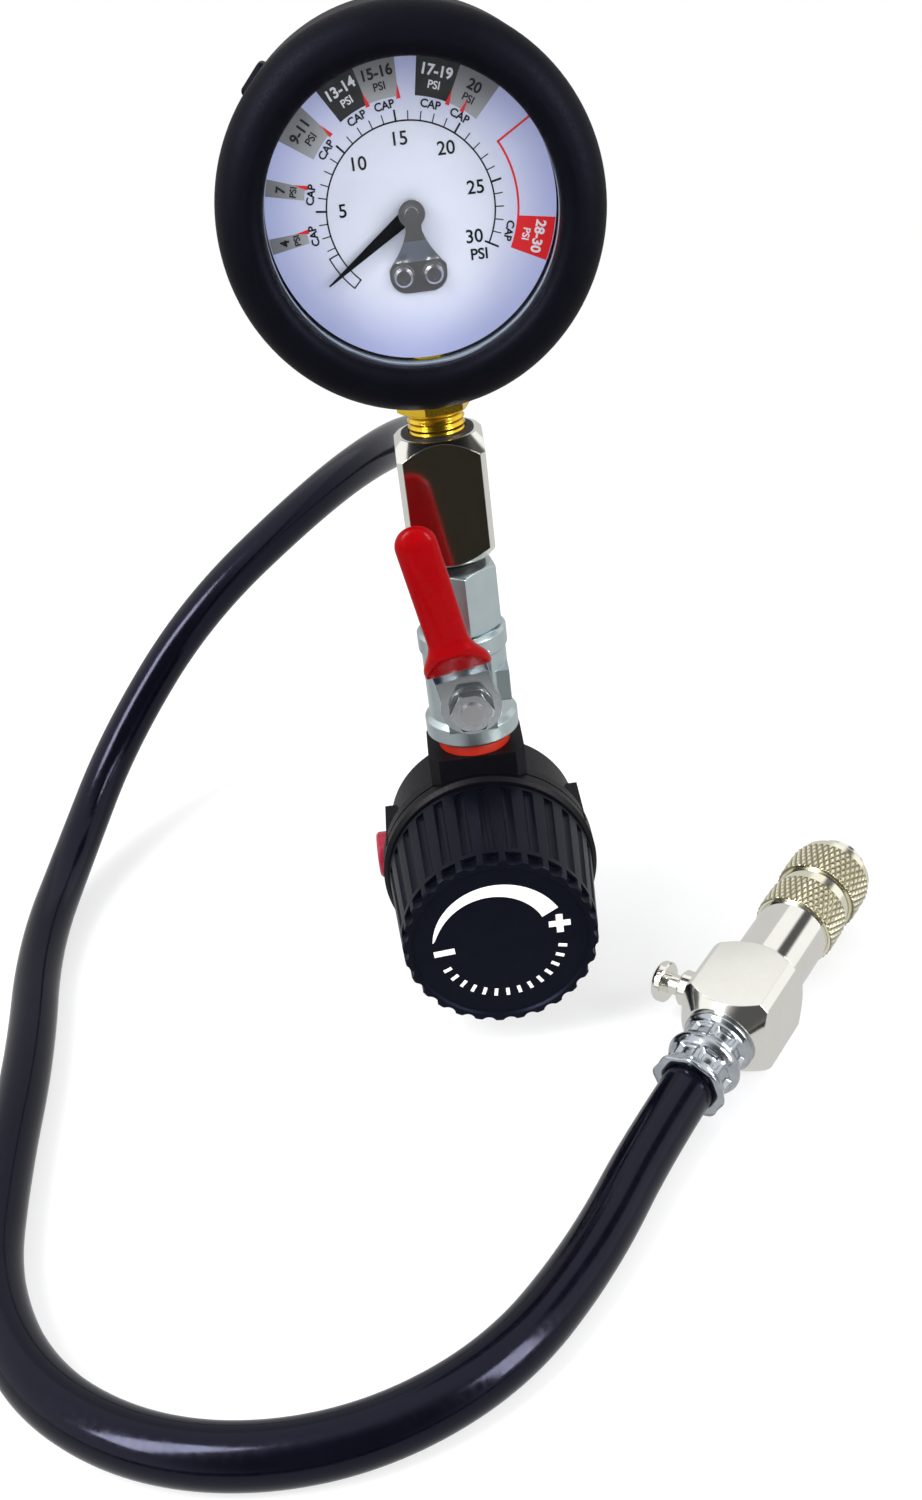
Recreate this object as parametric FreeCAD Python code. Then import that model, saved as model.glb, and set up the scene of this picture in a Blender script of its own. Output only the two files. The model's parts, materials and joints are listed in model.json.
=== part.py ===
import FreeCAD, Part
import math
import os

# Radiator pressure tester: a dial gauge in a rubber boot on top of a tee block,
# a ball valve and a small air regulator in one column, and a hose from the back
# of the tee to a quick coupler with a release button.
#
# Millimetres, +Z up. The column's pipe axis is the Z axis. The origin is the middle
# of the regulator's bottom port face, on which the tester stands. The dial and the
# knob face -Y.

V = FreeCAD.Vector
os.makedirs("parts", exist_ok=True)

# Directions
UP, DOWN = V(0, 0, 1), V(0, 0, -1)
FRONT, BACK = V(0, -1, 0), V(0, 1, 0)
RIGHT, LEFT = V(1, 0, 0), V(-1, 0, 0)

# Fits shared by every assembly
running_clearance = 0.05
thread_clearance = 0.05
soft_clearance = 0.3
end_gap = 0.1
overcut = 1.0

# Pipe threads, all one size
pipe_thread_radius = 6.8
pipe_thread_pitch = 1.41
pipe_thread_depth = 0.45
pipe_bore_radius = 3.2

# Column, from the foot up
port_span = 68.0
port_seal_height = 3.6
valve_body_height = 29.4
valve_end_height = 16.7
block_gap = 2.8
block_length = 31.0
stem_thread_show = 5.4
stem_collar_height = 3.0
boot_gap = 0.5

# Regulator
boss_width = 25.0
boss_depth = 20.0
boss_chamfer = 2.5
side_boss_width = 22.0
side_boss_reach = 26.6
hub_radius = 26.0
hub_rear = 15.0
body_front = 7.3
body_flange_height = 3.5
port_thread_depth = 11.0
side_port_radius = 5.9
side_port_depth = 10.0
side_port_setback = 3.0
diaphragm_chamber_radius = 18.0
diaphragm_chamber_depth = 2.0
diaphragm_inset = 1.2
diaphragm_thickness = 0.8
orifice_radius = 2.6
orifice_wall = 3.0
poppet_chamber_radius = 6.5
poppet_head_radius = 5.0
poppet_head_height = 2.5
poppet_stem_radius = 1.5
poppet_tail_radius = 1.8
poppet_tail_length = 5.5
cap_spigot_radius = 8.9
cap_spigot_length = 6.0
cap_hex_flats = 20.0
cap_hex_height = 6.0
cap_spring_bore = 4.0
cap_spring_depth = 7.0
passage_radius = 2.5
tap_radius = 1.0
spring_seat_radius = 13.0
spring_seat_thickness = 1.6
spring_pilot_radius = 6.5
spring_pilot_height = 1.6
collar_radius = 28.5
collar_height = 3.7
tower_radius = 17.0
tower_wall = 2.5
tower_top = 36.5
tower_lid = 3.6
nut_radius = 12.5
nut_thickness = 3.5
nut_key_width = 4.0
nut_key_reach = 15.8
nut_rest = 26.0
screw_thread_radius = 3.95
screw_shank_radius = 4.0
screw_collar_radius = 6.5
screw_collar_height = 1.7
screw_end = 14.0
screw_head_radius = 5.5
screw_head_height = 4.3
knob_rear_radius = 27.0
knob_front_radius = 24.3
knob_rear = 12.2
knob_front = 44.6
knob_wall = 2.4
knob_disc_thickness = 3.2
knob_rim_width = 1.9
knob_rim_height = 0.7
knob_hub_radius = 8.0
knob_ribs = 28
knob_groove_radius = 1.5
knob_groove_depth = 0.9
knob_scallop_radius = 2.2
knob_scallop_depth = 1.2
knob_edge_chamfer = 0.4
plug_thread_length = 8.0
plug_head_radius = 6.3
plug_head_height = 3.3
plug_hex_flats = 6.0
plug_hex_depth = 4.0

# Coil springs: mean radius, wire radius and turns
range_spring_radius, range_spring_wire, range_spring_turns = 9.0, 1.1, 5.0
poppet_spring_radius, poppet_spring_wire, poppet_spring_turns = 3.0, 0.4, 5.0
sleeve_spring_radius, sleeve_spring_wire, sleeve_spring_turns = 8.5, 0.45, 4.0
button_spring_radius, button_spring_wire, button_spring_turns = 2.4, 0.35, 2.5

# Ball valve
port_seal_radius = 9.3
valve_flange_radius = 12.0
valve_flange_height = 6.0
valve_waist_radius = 10.7
valve_collar_radius = 11.3
valve_collar_height = 5.0
valve_axis_height = 15.2
valve_hex_flats = 18.6
valve_hex_turn = 11.0
valve_spigot_length = 6.0
ball_radius = 7.0
ball_bore_radius = 3.5
seat_height = 4.0
stem_radius = 3.0
stem_tip_radius = 2.8
tang_width = 2.3
tang_height = 5.4
ball_slot_depth = 2.0
gland_boss_radius = 6.2
gland_boss_front = 14.2
packing_radius = 4.9
packing_length = 3.4
gland_nut_flats = 11.4
gland_nut_height = 2.0
lever_standoff = 0.2
lever_thickness = 2.0
lever_length = 51.6
lever_lean = 9.8
lever_eye_radius = 7.6
lever_root_half = 6.8
lever_blade_half = 3.7
lever_bend_start = 8.5
lever_bend_end = 19.0
lever_bend_offset = 7.0
lever_tip_offset = 11.0
sleeve_start = 11.5
sleeve_wall = 1.2
sleeve_skirt_half = 8.3
sleeve_skirt_top = 21.0
washer_radius = 5.6
washer_thickness = 0.8
lever_nut_flats = 9.6
lever_nut_height = 2.8
stem_tip_show = 0.9
stop_lug_width = 4.7
stop_lug_height = 8.3
stop_lug_low = 10.7
stop_lug_front = 8.0

# Tee block
block_width = 20.8
block_corner_radius = 13.8
block_end_radius = 9.9
block_thread_depth = 8.5
block_rear_thread_depth = 7.0
stem_seal_radius = 8.6
stem_seal_height = 1.4
stem_seal_sink = 1.0
nipple_seal_radius = 8.0
nipple_seal_height = 1.6

# Gauge, measured along its own axis, front positive
boot_wall = 8.0
boot_front = 20.0
boot_rear = 18.0
boot_opening_inset = 2.3
boot_back_inset = 9.5
boot_crown_outset = 1.7
boot_lug_angle = 137.0
boot_lug_width = 8.0
boot_lug_reach = 1.0
case_radius = 33.5
case_wall = 1.0
case_rear = 16.0
case_front = 13.0
case_rim_width = 2.2
lens_thickness = 1.6
dial_gap = 1.0
dial_front = 6.5
dial_thickness = 0.8
dial_hole_radius = 1.5
movement_plate = 1.2
movement_depth = 5.0
plate_half_width = 11.5
plate_top = 7.5
plate_bottom = -16.5
pillar_radius = 1.2
arbor_radius = 0.9
pivot_radius = 0.6
pointer_length = 23.8
pointer_angle = 214.0
pointer_plane = 8.0
pointer_thickness = 0.4
pointer_hub_radius = 2.6
pointer_hub_height = 2.0
pointer_root_half = 1.7
pointer_tip_half = 0.15
bridge_thickness = 0.8
bridge_rise = 3.0
bridge_eye_radius = 2.9
bridge_foot_half = 6.3
bridge_foot_bottom = -17.0
bridge_bend_low = -10.4
bridge_bend_high = -5.6
bridge_boss_radius = 1.4
bridge_boss_height = 1.0
bridge_screw_x = 3.35
bridge_screw_z = -13.4
bridge_screw_radius = 0.9
bridge_screw_head_radius = 2.1
bridge_screw_head_height = 1.1
screw_washer_radius = 2.5
screw_washer_height = 0.3
cross_recess_length = 2.2
cross_recess_width = 0.45
cross_recess_depth = 0.6
gear_distance = 10.5
gear_angle = 253.4
pinion_teeth = 10
sector_ratio = 8
tooth_height = 0.42
tooth_root_gap = 0.06
tooth_root_share = 0.455
tooth_tip_share = 0.215
pinion_length = 1.8
pinion_rear = 1.2
sector_thickness = 1.0
sector_rear = 1.6
sector_from = 33.0
sector_to = 83.0
sector_rim = 1.3
sector_tail = 5.0
sector_tail_angle = -20.0
link_thickness = 0.6
link_width = 1.8
link_gap = 0.6
hairspring_inner = 1.2
hairspring_band = 0.18
hairspring_pitch = 0.45
hairspring_turns = 4
hairspring_height = 0.6
hairspring_stud_radius = 0.4
bourdon_radius = 23.0
bourdon_thickness = 3.0
bourdon_width = 7.0
bourdon_wall = 0.4
bourdon_plane = -6.0
bourdon_root_angle = 250.0
bourdon_sweep = 280.0
bourdon_tip_length = 4.0
stem_hex_flats = 15.8
stem_neck_radius = 5.5
socket_half_width = 8.0
socket_root_reach = 10.5
socket_shelf = -25.0
socket_top = -17.5
socket_gap = 1.3
socket_front = 4.0
socket_rear_wall = 1.5
gauge_passage_radius = 2.0
tube_passage_radius = 0.9

# Hose and its end fittings
hose_radius = 6.35
hose_bore_radius = 3.175
hose_last_run = 33.0
ferrule_length = 17.0
ferrule_radius = 9.3
ferrule_neck_radius = 7.7
ferrule_end_radius = 8.6
ferrule_lip = 1.0
barb_collar_radius = 6.2
barb_collar_length = 1.4
barb_length = 18.0
barb_radius = 3.1
barb_root_radius = 2.7
barb_ridges = 4
barb_bore_radius = 1.9

# Quick coupler: where its block lies, which way it points, and its own sizes
coupler_centre = V(57.8, -53.0, 11.98)
coupler_heading = 52.0
coupler_rise = 5.0
coupler_block_width = 22.0
coupler_block_length = 26.0
coupler_corner_radius = 14.35
coupler_block_end_radius = 9.6
coupler_thread_radius = 7.0
coupler_thread_depth = 8.0
coupler_barb_radius = 4.7
coupler_barb_depth = 6.5
barrel_radius = 9.5
barrel_shoulder = 34.9
barrel_nose_radius = 7.4
barrel_mouth_radius = 7.2
socket_radius = 5.2
socket_mouth_radius = 5.6
socket_mouth_depth = 5.3
socket_relief_width = 0.4
socket_relief_depth = 0.3
socket_depth = 24.0
sleeve_rear = 31.0
knurl_rear_radius = 10.8
knurl_rear_length = 10.2
knurl_groove_radius = 9.9
knurl_groove_length = 4.0
knurl_front_radius = 11.2
knurl_front_length = 10.4
sleeve_collar_radius = 10.1
sleeve_nose_radius = 9.2
sleeve_collar_length = 3.6
sleeve_shoulder = 46.6
mouth_length = 3.6
ball_plane = 54.8
locking_ball_radius = 1.5
locking_ball_reach = 6.35
locking_balls_count = 6
ball_land_radius = 7.9
ball_land_length = 3.8
ball_release_radius = 8.6
retaining_ring_radius = 8.4
retaining_ring_inner = 6.7
retaining_ring_thickness = 0.7
seal_ring_radius = 0.9
seal_ring_plane = 45.3
release_seat_radius = 4.6
release_seat_length = 5.5
release_thread_radius = 4.0
release_thread_length = 3.0
release_neck_radius = 2.6
release_stem_radius = 1.6
release_cavity_radius = 3.2
release_lid = 1.0
release_head_radius = 5.3
release_head_height = 3.0
release_neck_show = 4.0
release_pad_radius = 2.8
release_pad_height = 1.2

# Heights that follow from the column
regulator_z = port_span / 2
valve_foot_z = port_span + port_seal_height
valve_axis_z = valve_foot_z + valve_axis_height
valve_end_z = valve_foot_z + valve_body_height
valve_top_z = valve_end_z + valve_end_height
block_base_z = valve_top_z + block_gap
block_top_z = block_base_z + block_length
block_z = (block_base_z + block_top_z) / 2
stem_collar_z = block_top_z + stem_thread_show
stem_top_z = stem_collar_z + stem_collar_height
boot_radius = case_radius + boot_wall
boot_opening_radius = case_radius - boot_opening_inset
boot_back_opening_radius = case_radius - boot_back_inset
boot_lip_crown_radius = case_radius + boot_crown_outset
dial_radius = case_radius - case_wall - dial_gap
socket_bottom = case_wall + socket_gap - case_radius
gauge_z = stem_top_z + boot_gap + boot_radius

regulator_centre = V(0, 0, regulator_z)
valve_centre = V(0, 0, valve_axis_z)
gauge_centre = V(0, 0, gauge_z)
block_centre = V(0, 0, block_z)


def unit(heading, rise):
    h, r = math.radians(heading), math.radians(rise)
    return V(math.cos(r) * math.cos(h), math.cos(r) * math.sin(h), math.sin(r))


coupler_axis = unit(coupler_heading, coupler_rise)
coupler_up = unit(coupler_heading, coupler_rise + 90)

# The hose's route from the back of the tee to the coupler: down behind the column,
# round on the surface that the tester stands on, and up into the coupler.
barb_stand = barb_collar_length + 0.2
hose_start = V(0, block_width / 2 + barb_stand, block_z)
hose_end = coupler_centre - coupler_axis * (coupler_block_length / 2 + barb_stand)
hose_route = [
    V(0, 49.5, block_z),
    V(-14, 85, 123.5),
    V(-40, 108, 102),
    V(-84, 111, 68),
    V(-114, 91, 35),
    V(-129, 60, 12),
    V(-134, 19, hose_radius),
    V(-127, -31, hose_radius),
    V(-125, -75, hose_radius),
    V(-121, -110, hose_radius),
    V(-105, -139, hose_radius),
    V(-77, -157, hose_radius),
    V(-43, -160, hose_radius),
    V(-12, -147, hose_radius),
    V(10, -121.5, hose_radius),
    hose_end - coupler_axis * hose_last_run,
]


# ---------------------------------------------------------------- shape helpers

def place(shape, origin, toward=UP, side=RIGHT):
    """Moves a shape built on the Z axis so that +Z points toward and +X to side."""
    turn = FreeCAD.Rotation(side, V(), toward, "ZXY")
    moved = shape.copy()
    moved.Placement = FreeCAD.Placement(origin, turn).multiply(shape.Placement)
    return moved


def tube(outer, inner, low, high):
    """A ring or, with inner 0, a disc between two heights."""
    solid = Part.makeCylinder(outer, high - low, V(0, 0, low))
    if inner:
        solid = solid.cut(Part.makeCylinder(inner, high - low + 2 * overcut, V(0, 0, low - overcut)))
    return solid


def rod(radius, start, end):
    """A plain cylinder between two points."""
    along = end - start
    return Part.makeCylinder(radius, along.Length, start, along)


def outline(points):
    """A closed face in the XZ plane. A point of 2 numbers ends a line and one of 4
    numbers ends an arc, whose middle comes first."""
    edges = []
    here = V(points[0][-2], 0, points[0][-1])
    for point in list(points[1:]) + [points[0][-2:]]:
        there = V(point[-2], 0, point[-1])
        if len(point) == 4:
            edges.append(Part.Arc(here, V(point[0], 0, point[1]), there).toShape())
        elif (there - here).Length > 1e-6:
            edges.append(Part.LineSegment(here, there).toShape())
        here = there
    return Part.Face(Part.Wire(edges))


def turned(points):
    """Turns an outline of (radius, height) points about Z."""
    return outline(points).revolve(V(), UP, 360)


def prism(points, low, high):
    """Extrudes a polygon of (x, y) points between two heights."""
    ring = [V(x, y, low) for x, y in points]
    return Part.Face(Part.makePolygon(ring + [ring[0]])).extrude(V(0, 0, high - low))


def hexagon(flats, low, high, turn=0.0):
    corner = flats / math.sqrt(3)
    angles = [math.radians(turn + 60 * i) for i in range(6)]
    return prism([(corner * math.cos(a), corner * math.sin(a)) for a in angles], low, high)


def chamfered_hexagon(flats, low, high, cut, turn=0.0):
    """A hexagon whose corners are turned down at both ends."""
    corner = flats / math.sqrt(3)
    blank = turned([(0, low), (corner - cut, low), (corner, low + cut / 2),
                    (corner, high - cut / 2), (corner - cut, high), (0, high)])
    return hexagon(flats, low, high, turn).common(blank)


def box(x, y, z):
    """A box from three (low, high) pairs."""
    corner = V(x[0], y[0], z[0])
    return Part.makeBox(x[1] - x[0], y[1] - y[0], z[1] - z[0], corner)


def threads(radius, depth, pitch, low, high):
    """Rings that stand for a screw thread, on a core between two heights."""
    count = max(1, int((high - low) / pitch))
    step = (high - low) / count
    points = [(0, low), (radius - depth, low)]
    for i in range(count):
        base = low + i * step
        points += [(radius, base + step / 2), (radius - depth, base + step)]
    return turned(points + [(0, high)])


def coil(mean_radius, wire_radius, turns, low, high):
    """A compression spring between two heights, with its wire inside them."""
    height = high - low - 2 * wire_radius
    path = Part.makeHelix(height / turns, height, mean_radius)
    path.translate(V(0, 0, low + wire_radius))
    start = path.Edges[0].valueAt(path.Edges[0].FirstParameter)
    along = path.Edges[0].tangentAt(path.Edges[0].FirstParameter)
    section = Part.Wire(Part.makeCircle(wire_radius, start, along))
    return Part.Wire(path.Edges).makePipeShell([section], True, True)


def square_bar(width, corner_radius, end_radius, low, high):
    """Square bar whose corners and ends have been turned in a lathe."""
    taper = corner_radius - end_radius
    half = width / 2
    blank = turned([(0, low), (end_radius, low), (corner_radius, low + taper),
                    (corner_radius, high - taper), (end_radius, high), (0, high)])
    return box((-half, half), (-half, half), (low, high)).common(blank)


def fused(shapes):
    result = shapes[0]
    for other in shapes[1:]:
        result = result.fuse(other)
    return result.removeSplitter()


def solid_of(shape):
    """The one solid of a boolean's result."""
    return shape.Solids[0] if len(shape.Solids) == 1 else shape


# ---------------------------------------------------------------- gauge

def on_gauge(shape):
    return place(shape, gauge_centre, FRONT, RIGHT)


def gauge_boot():
    inner = case_radius + soft_clearance
    seat = case_front + lens_thickness + soft_clearance
    back = -(case_rear + soft_clearance)
    edge = boot_radius
    shell = turned([
        (boot_back_opening_radius, -boot_rear),
        (edge - 3, -boot_rear), (edge - 0.9, -boot_rear + 0.9, edge, -boot_rear + 3),
        (edge, boot_front - 7.5),
        (edge - 1.9, boot_front - 2.3, boot_lip_crown_radius, boot_front),
        (boot_opening_radius + 1.0, boot_front - 0.7, boot_opening_radius, boot_front - 2.8),
        (boot_opening_radius, seat), (inner, seat), (inner, back),
        (boot_back_opening_radius, back),
    ])
    reach = edge + boot_lug_reach
    half = boot_lug_width / 2
    lug = box((edge - 2, reach), (-half, half), (-boot_rear + 1, -boot_rear + 9))
    lug = lug.makeFillet(1.2, lug.Edges)
    lug.rotate(V(), UP, boot_lug_angle)
    neck = rod(stem_neck_radius + soft_clearance, V(0, 0, 0), V(0, -boot_radius - overcut, 0))
    return on_gauge(solid_of(shell.fuse(lug).cut(neck)))


def gauge_case():
    inner = case_radius - case_wall
    shell = turned([
        (0, -case_rear), (case_radius - 1.5, -case_rear),
        (case_radius - 0.45, -case_rear + 0.45, case_radius, -case_rear + 1.5),
        (case_radius, case_front), (case_radius - case_rim_width, case_front),
        (case_radius - case_rim_width, case_front - case_wall), (inner, case_front - case_wall),
        (inner, -case_rear + case_wall), (0, -case_rear + case_wall),
    ])
    neck = rod(stem_neck_radius + running_clearance, V(0, 0, 0), V(0, -boot_radius, 0))
    return on_gauge(solid_of(shell.cut(neck)))


def gauge_lens():
    rim = case_radius - 0.2
    top = case_front + lens_thickness
    return on_gauge(turned([(0, case_front), (rim, case_front), (rim, top - 0.5),
                            (rim - 0.5, top), (0, top)]))


def screw_places():
    return [V(x, bridge_screw_z, 0) for x in (-bridge_screw_x, bridge_screw_x)]


def dial_plate():
    low = dial_front - dial_thickness
    plate = tube(dial_radius, dial_hole_radius, low, dial_front)
    for spot in screw_places():
        hole = tube(bridge_screw_radius + running_clearance, 0, low - overcut, dial_front + overcut)
        plate = plate.cut(place(hole, spot))
    return on_gauge(plate)


def pointer():
    low = pointer_plane - pointer_thickness / 2
    high = pointer_plane + pointer_thickness / 2
    blade = prism([(0, -pointer_root_half), (pointer_length, -pointer_tip_half),
                   (pointer_length, pointer_tip_half), (0, pointer_root_half)], low, high)
    blade.rotate(V(), UP, pointer_angle)
    hub_low = pointer_plane - pointer_hub_height / 2
    hub = tube(pointer_hub_radius, 0, hub_low, hub_low + pointer_hub_height)
    bore = tube(arbor_radius, 0, hub_low - overcut, hub_low + pointer_hub_height + overcut)
    return on_gauge(fused([blade, hub]).cut(bore))


def gear_teeth(teeth, pitch_radius, count, first):
    """Straight-sided teeth as (x, y) points, counter-clockwise from the angle first."""
    step = 2 * math.pi / teeth
    tip = pitch_radius + tooth_height / 2
    root = pitch_radius - tooth_height / 2 - tooth_root_gap
    half_root = step * tooth_root_share / 2
    half_tip = step * tooth_tip_share / 2
    points = []
    for i in range(count):
        middle = math.radians(first) + i * step
        for radius, offset in ((root, -half_root), (tip, -half_tip), (tip, half_tip), (root, half_root)):
            points.append((radius * math.cos(middle + offset), radius * math.sin(middle + offset)))
    return points


pinion_radius = gear_distance / (1 + sector_ratio)
sector_radius = gear_distance - pinion_radius
sector_pivot = V(gear_distance * math.cos(math.radians(gear_angle)),
                 gear_distance * math.sin(math.radians(gear_angle)), 0)
back_plate_front = dial_front - dial_thickness - movement_plate - movement_depth
front_plate_rear = back_plate_front + movement_depth


def pointer_arbor():
    front = dial_front + bridge_rise + bridge_thickness
    low = back_plate_front - movement_plate
    shaft = fused([tube(pivot_radius, 0, low, front),
                   tube(arbor_radius, 0, back_plate_front + end_gap,
                        pointer_plane + pointer_hub_height / 2 + end_gap)])
    toward_sector = gear_angle + 180.0 / pinion_teeth
    teeth = prism(gear_teeth(pinion_teeth, pinion_radius, pinion_teeth, toward_sector),
                  pinion_rear, pinion_rear + pinion_length)
    return on_gauge(fused([shaft, teeth]))


def sector_gear():
    teeth_all = pinion_teeth * sector_ratio
    step = 360.0 / teeth_all
    mesh = gear_angle - 180
    first = mesh - step * math.floor((mesh - sector_from) / step)
    count = int((sector_to - first) / step) + 1
    arc = gear_teeth(teeth_all, sector_radius, count, first)
    low, high = sector_rear, sector_rear + sector_thickness
    fan = prism([(0, 0)] + arc, low, high)
    window = prism([(0, 0)] + [((sector_radius - sector_rim) * math.cos(math.radians(a)),
                                (sector_radius - sector_rim) * math.sin(math.radians(a)))
                               for a in range(int(sector_from) + 9, int(sector_to) - 8, 2)],
                   low - overcut, high + overcut)
    window.translate(V(2.0 * math.cos(math.radians(mesh - 15)), 2.0 * math.sin(math.radians(mesh - 15)), 0))
    window = window.common(tube(sector_radius - sector_rim, 0, low - overcut, high + overcut))
    tail_tip = place(tube(1.1, 0, low, high), tail_point())
    half = 0.8
    tail = box((0, sector_tail), (-half, half), (low, high))
    tail.rotate(V(), UP, sector_tail_angle)
    hub = tube(2.2, 0, low, high)
    arbor = fused([tube(pivot_radius, 0, back_plate_front - movement_plate,
                        front_plate_rear + movement_plate),
                   tube(arbor_radius, 0, back_plate_front + end_gap, front_plate_rear - end_gap)])
    pin = place(tube(0.45, 0, low - link_gap - link_thickness, low), tail_point())
    whole = fused([fan.cut(window), hub, tail, tail_tip, arbor, pin])
    return on_gauge(place(whole, sector_pivot))


def tail_point():
    a = math.radians(sector_tail_angle)
    return V(sector_tail * math.cos(a), sector_tail * math.sin(a), 0)


def bourdon_tip_point():
    a = math.radians(bourdon_root_angle - bourdon_sweep)
    reach = bourdon_radius - 4.6
    return V(reach * math.cos(a), reach * math.sin(a), 0)


def drive_link():
    start = sector_pivot + tail_point()
    end = bourdon_tip_point()
    high = sector_rear - 0.15
    low = high - link_thickness
    along = end - start
    bar = box((0, along.Length), (-link_width / 4, link_width / 4), (low, high))
    eyes = [place(tube(link_width / 2, 0, low, high), V(x, 0, 0)) for x in (0, along.Length)]
    link = fused([bar] + eyes)
    link = link.cut(tube(0.45 + running_clearance, 0, low - overcut, high + overcut))
    link.rotate(V(), UP, math.degrees(math.atan2(along.y, along.x)))
    return on_gauge(place(link, start))


def movement_front_plate():
    low, high = front_plate_rear, front_plate_rear + movement_plate
    w = plate_half_width
    plate = prism([(-w + 3, plate_bottom), (w - 3, plate_bottom), (w, plate_bottom + 4), (w, plate_top - 3),
                   (w - 3, plate_top), (-w + 3, plate_top), (-w, plate_top - 3), (-w, plate_bottom + 4)],
                  low, high)
    return on_gauge(pierced(plate, low, high, True))


def movement_back_plate():
    low, high = back_plate_front - movement_plate, back_plate_front
    w = plate_half_width
    foot = socket_half_width - 1
    plate = prism([(-foot, socket_shelf + 1), (foot, socket_shelf + 1), (w, plate_bottom + 4),
                   (w, plate_top - 3), (w - 3, plate_top), (-w + 3, plate_top), (-w, plate_top - 3),
                   (-w, plate_bottom + 4)],
                  low, high)
    return on_gauge(pierced(plate, low, high, False))


def pierced(plate, low, high, front):
    """Cuts the pivot holes of a movement plate, and in front the screws' and the arbor's."""
    arbor_hole = arbor_radius if front else pivot_radius
    holes = [(V(), arbor_hole + running_clearance), (sector_pivot, pivot_radius + running_clearance)]
    if front:
        holes += [(spot, bridge_screw_radius) for spot in screw_places()]
    for spot, radius in holes:
        plate = plate.cut(place(tube(radius, 0, low - overcut, high + overcut), spot))
    return plate


def movement_pillars():
    x = plate_half_width - 2.2
    spots = [V(-x, plate_top - 2.6, 0), V(x, plate_top - 2.6, 0), V(-x, plate_bottom + 4.6, 0)]
    posts = [place(tube(pillar_radius, 0, back_plate_front, front_plate_rear), spot) for spot in spots]
    return on_gauge(Part.makeCompound(posts))


def hairspring():
    """A flat spiral of half rings, each wider than the last, ending at a stud."""
    low = pinion_rear + pinion_length + 0.4
    high = low + hairspring_height
    drop = hairspring_pitch / 2
    pieces = []
    for i in range(2 * hairspring_turns):
        inner = hairspring_inner + i * drop
        ring = tube(inner + hairspring_band, inner, low, high)
        reach = inner + 2
        if i % 2 == 0:
            pieces.append(ring.common(box((0, reach), (-reach, reach), (low, high))))
        else:
            half = ring.common(box((-reach, 0), (-reach, reach), (low, high)))
            pieces.append(half.translated(V(0, -drop, 0)))
    stud = V(0, -inner - drop - hairspring_band / 2, 0)
    pieces.append(place(tube(hairspring_stud_radius, 0, low, front_plate_rear), stud))
    return on_gauge(fused(pieces))


def bourdon_section(grow):
    """The tube's flat oval section, at the gauge's right, in the XZ plane."""
    half_t = bourdon_thickness / 2 + grow
    half_w = bourdon_width / 2 + grow
    r, h = bourdon_radius, bourdon_plane
    return outline([
        (r - half_t, h - half_w + half_t), (r, h - half_w, r + half_t, h - half_w + half_t),
        (r + half_t, h + half_w - half_t), (r, h + half_w, r - half_t, h + half_w - half_t)])


def bourdon_arc(grow, start, sweep):
    solid = bourdon_section(grow).revolve(V(), UP, -sweep)
    solid.rotate(V(), UP, start)
    return solid


def bourdon_tube():
    shell = bourdon_arc(0, bourdon_root_angle, bourdon_sweep)
    return on_gauge(shell.cut(bourdon_arc(-bourdon_wall, bourdon_root_angle, bourdon_sweep)))


def bourdon_tip():
    """The block that closes the tube's free end, with the ear that the link joins."""
    end_angle = bourdon_root_angle - bourdon_sweep
    sweep = math.degrees(bourdon_tip_length / bourdon_radius)
    block = bourdon_arc(0.5, end_angle + sweep / 2, sweep)
    block = block.cut(bourdon_arc(0, end_angle + sweep, sweep))
    ear_high = sector_rear - 0.15 - link_thickness - 0.15
    ear_low = bourdon_plane + 1.0
    spot = bourdon_tip_point()
    half = 1.1
    start = bourdon_radius - bourdon_thickness / 2 - 0.4
    ear = box((spot.Length - half, start), (-half, half), (ear_low, ear_low + 1.2))
    post = place(tube(half, 0, ear_low, ear_high), V(spot.Length, 0, 0))
    ear = fused([ear, post])
    turn = end_angle - sweep / 4
    ear.rotate(V(), UP, turn)
    return on_gauge(fused([block, ear]))


def gauge_stem():
    thread_low = block_top_z - block_thread_depth + end_gap
    thread = threads(pipe_thread_radius, pipe_thread_depth, pipe_thread_pitch, thread_low, stem_collar_z)
    collar = chamfered_hexagon(stem_hex_flats, stem_collar_z, stem_top_z, 0.8, 15)
    neck = tube(stem_neck_radius, 0, stem_top_z, gauge_z + socket_bottom + overcut)
    stem = fused([thread, collar, neck])
    rear = bourdon_plane - bourdon_width / 2 - socket_rear_wall
    lower = box((-socket_half_width, socket_half_width), (socket_bottom, socket_shelf), (rear, socket_front))
    face = back_plate_front - movement_plate
    upper = box((-socket_root_reach, socket_half_width), (socket_shelf, socket_top), (rear, face))
    socket = fused([lower, upper]).cut(bourdon_arc(0, bourdon_root_angle + 0.5, 40))
    root = V(-socket_half_width - overcut, socket_shelf + 2.5, bourdon_plane)
    inner_end = V(0, socket_shelf - 3.0, 0)
    turning = V(0, socket_shelf - 3.0, bourdon_plane)
    below_root = V(0, root.y, bourdon_plane)
    corners = [inner_end, turning, below_root, root]
    for start, end in zip(corners, corners[1:]):
        socket = socket.cut(rod(tube_passage_radius, start, end))
    socket = on_gauge(socket)
    bore = tube(gauge_passage_radius, 0, thread_low - overcut, gauge_z + inner_end.y)
    return solid_of(stem.fuse(socket).cut(bore))


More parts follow.
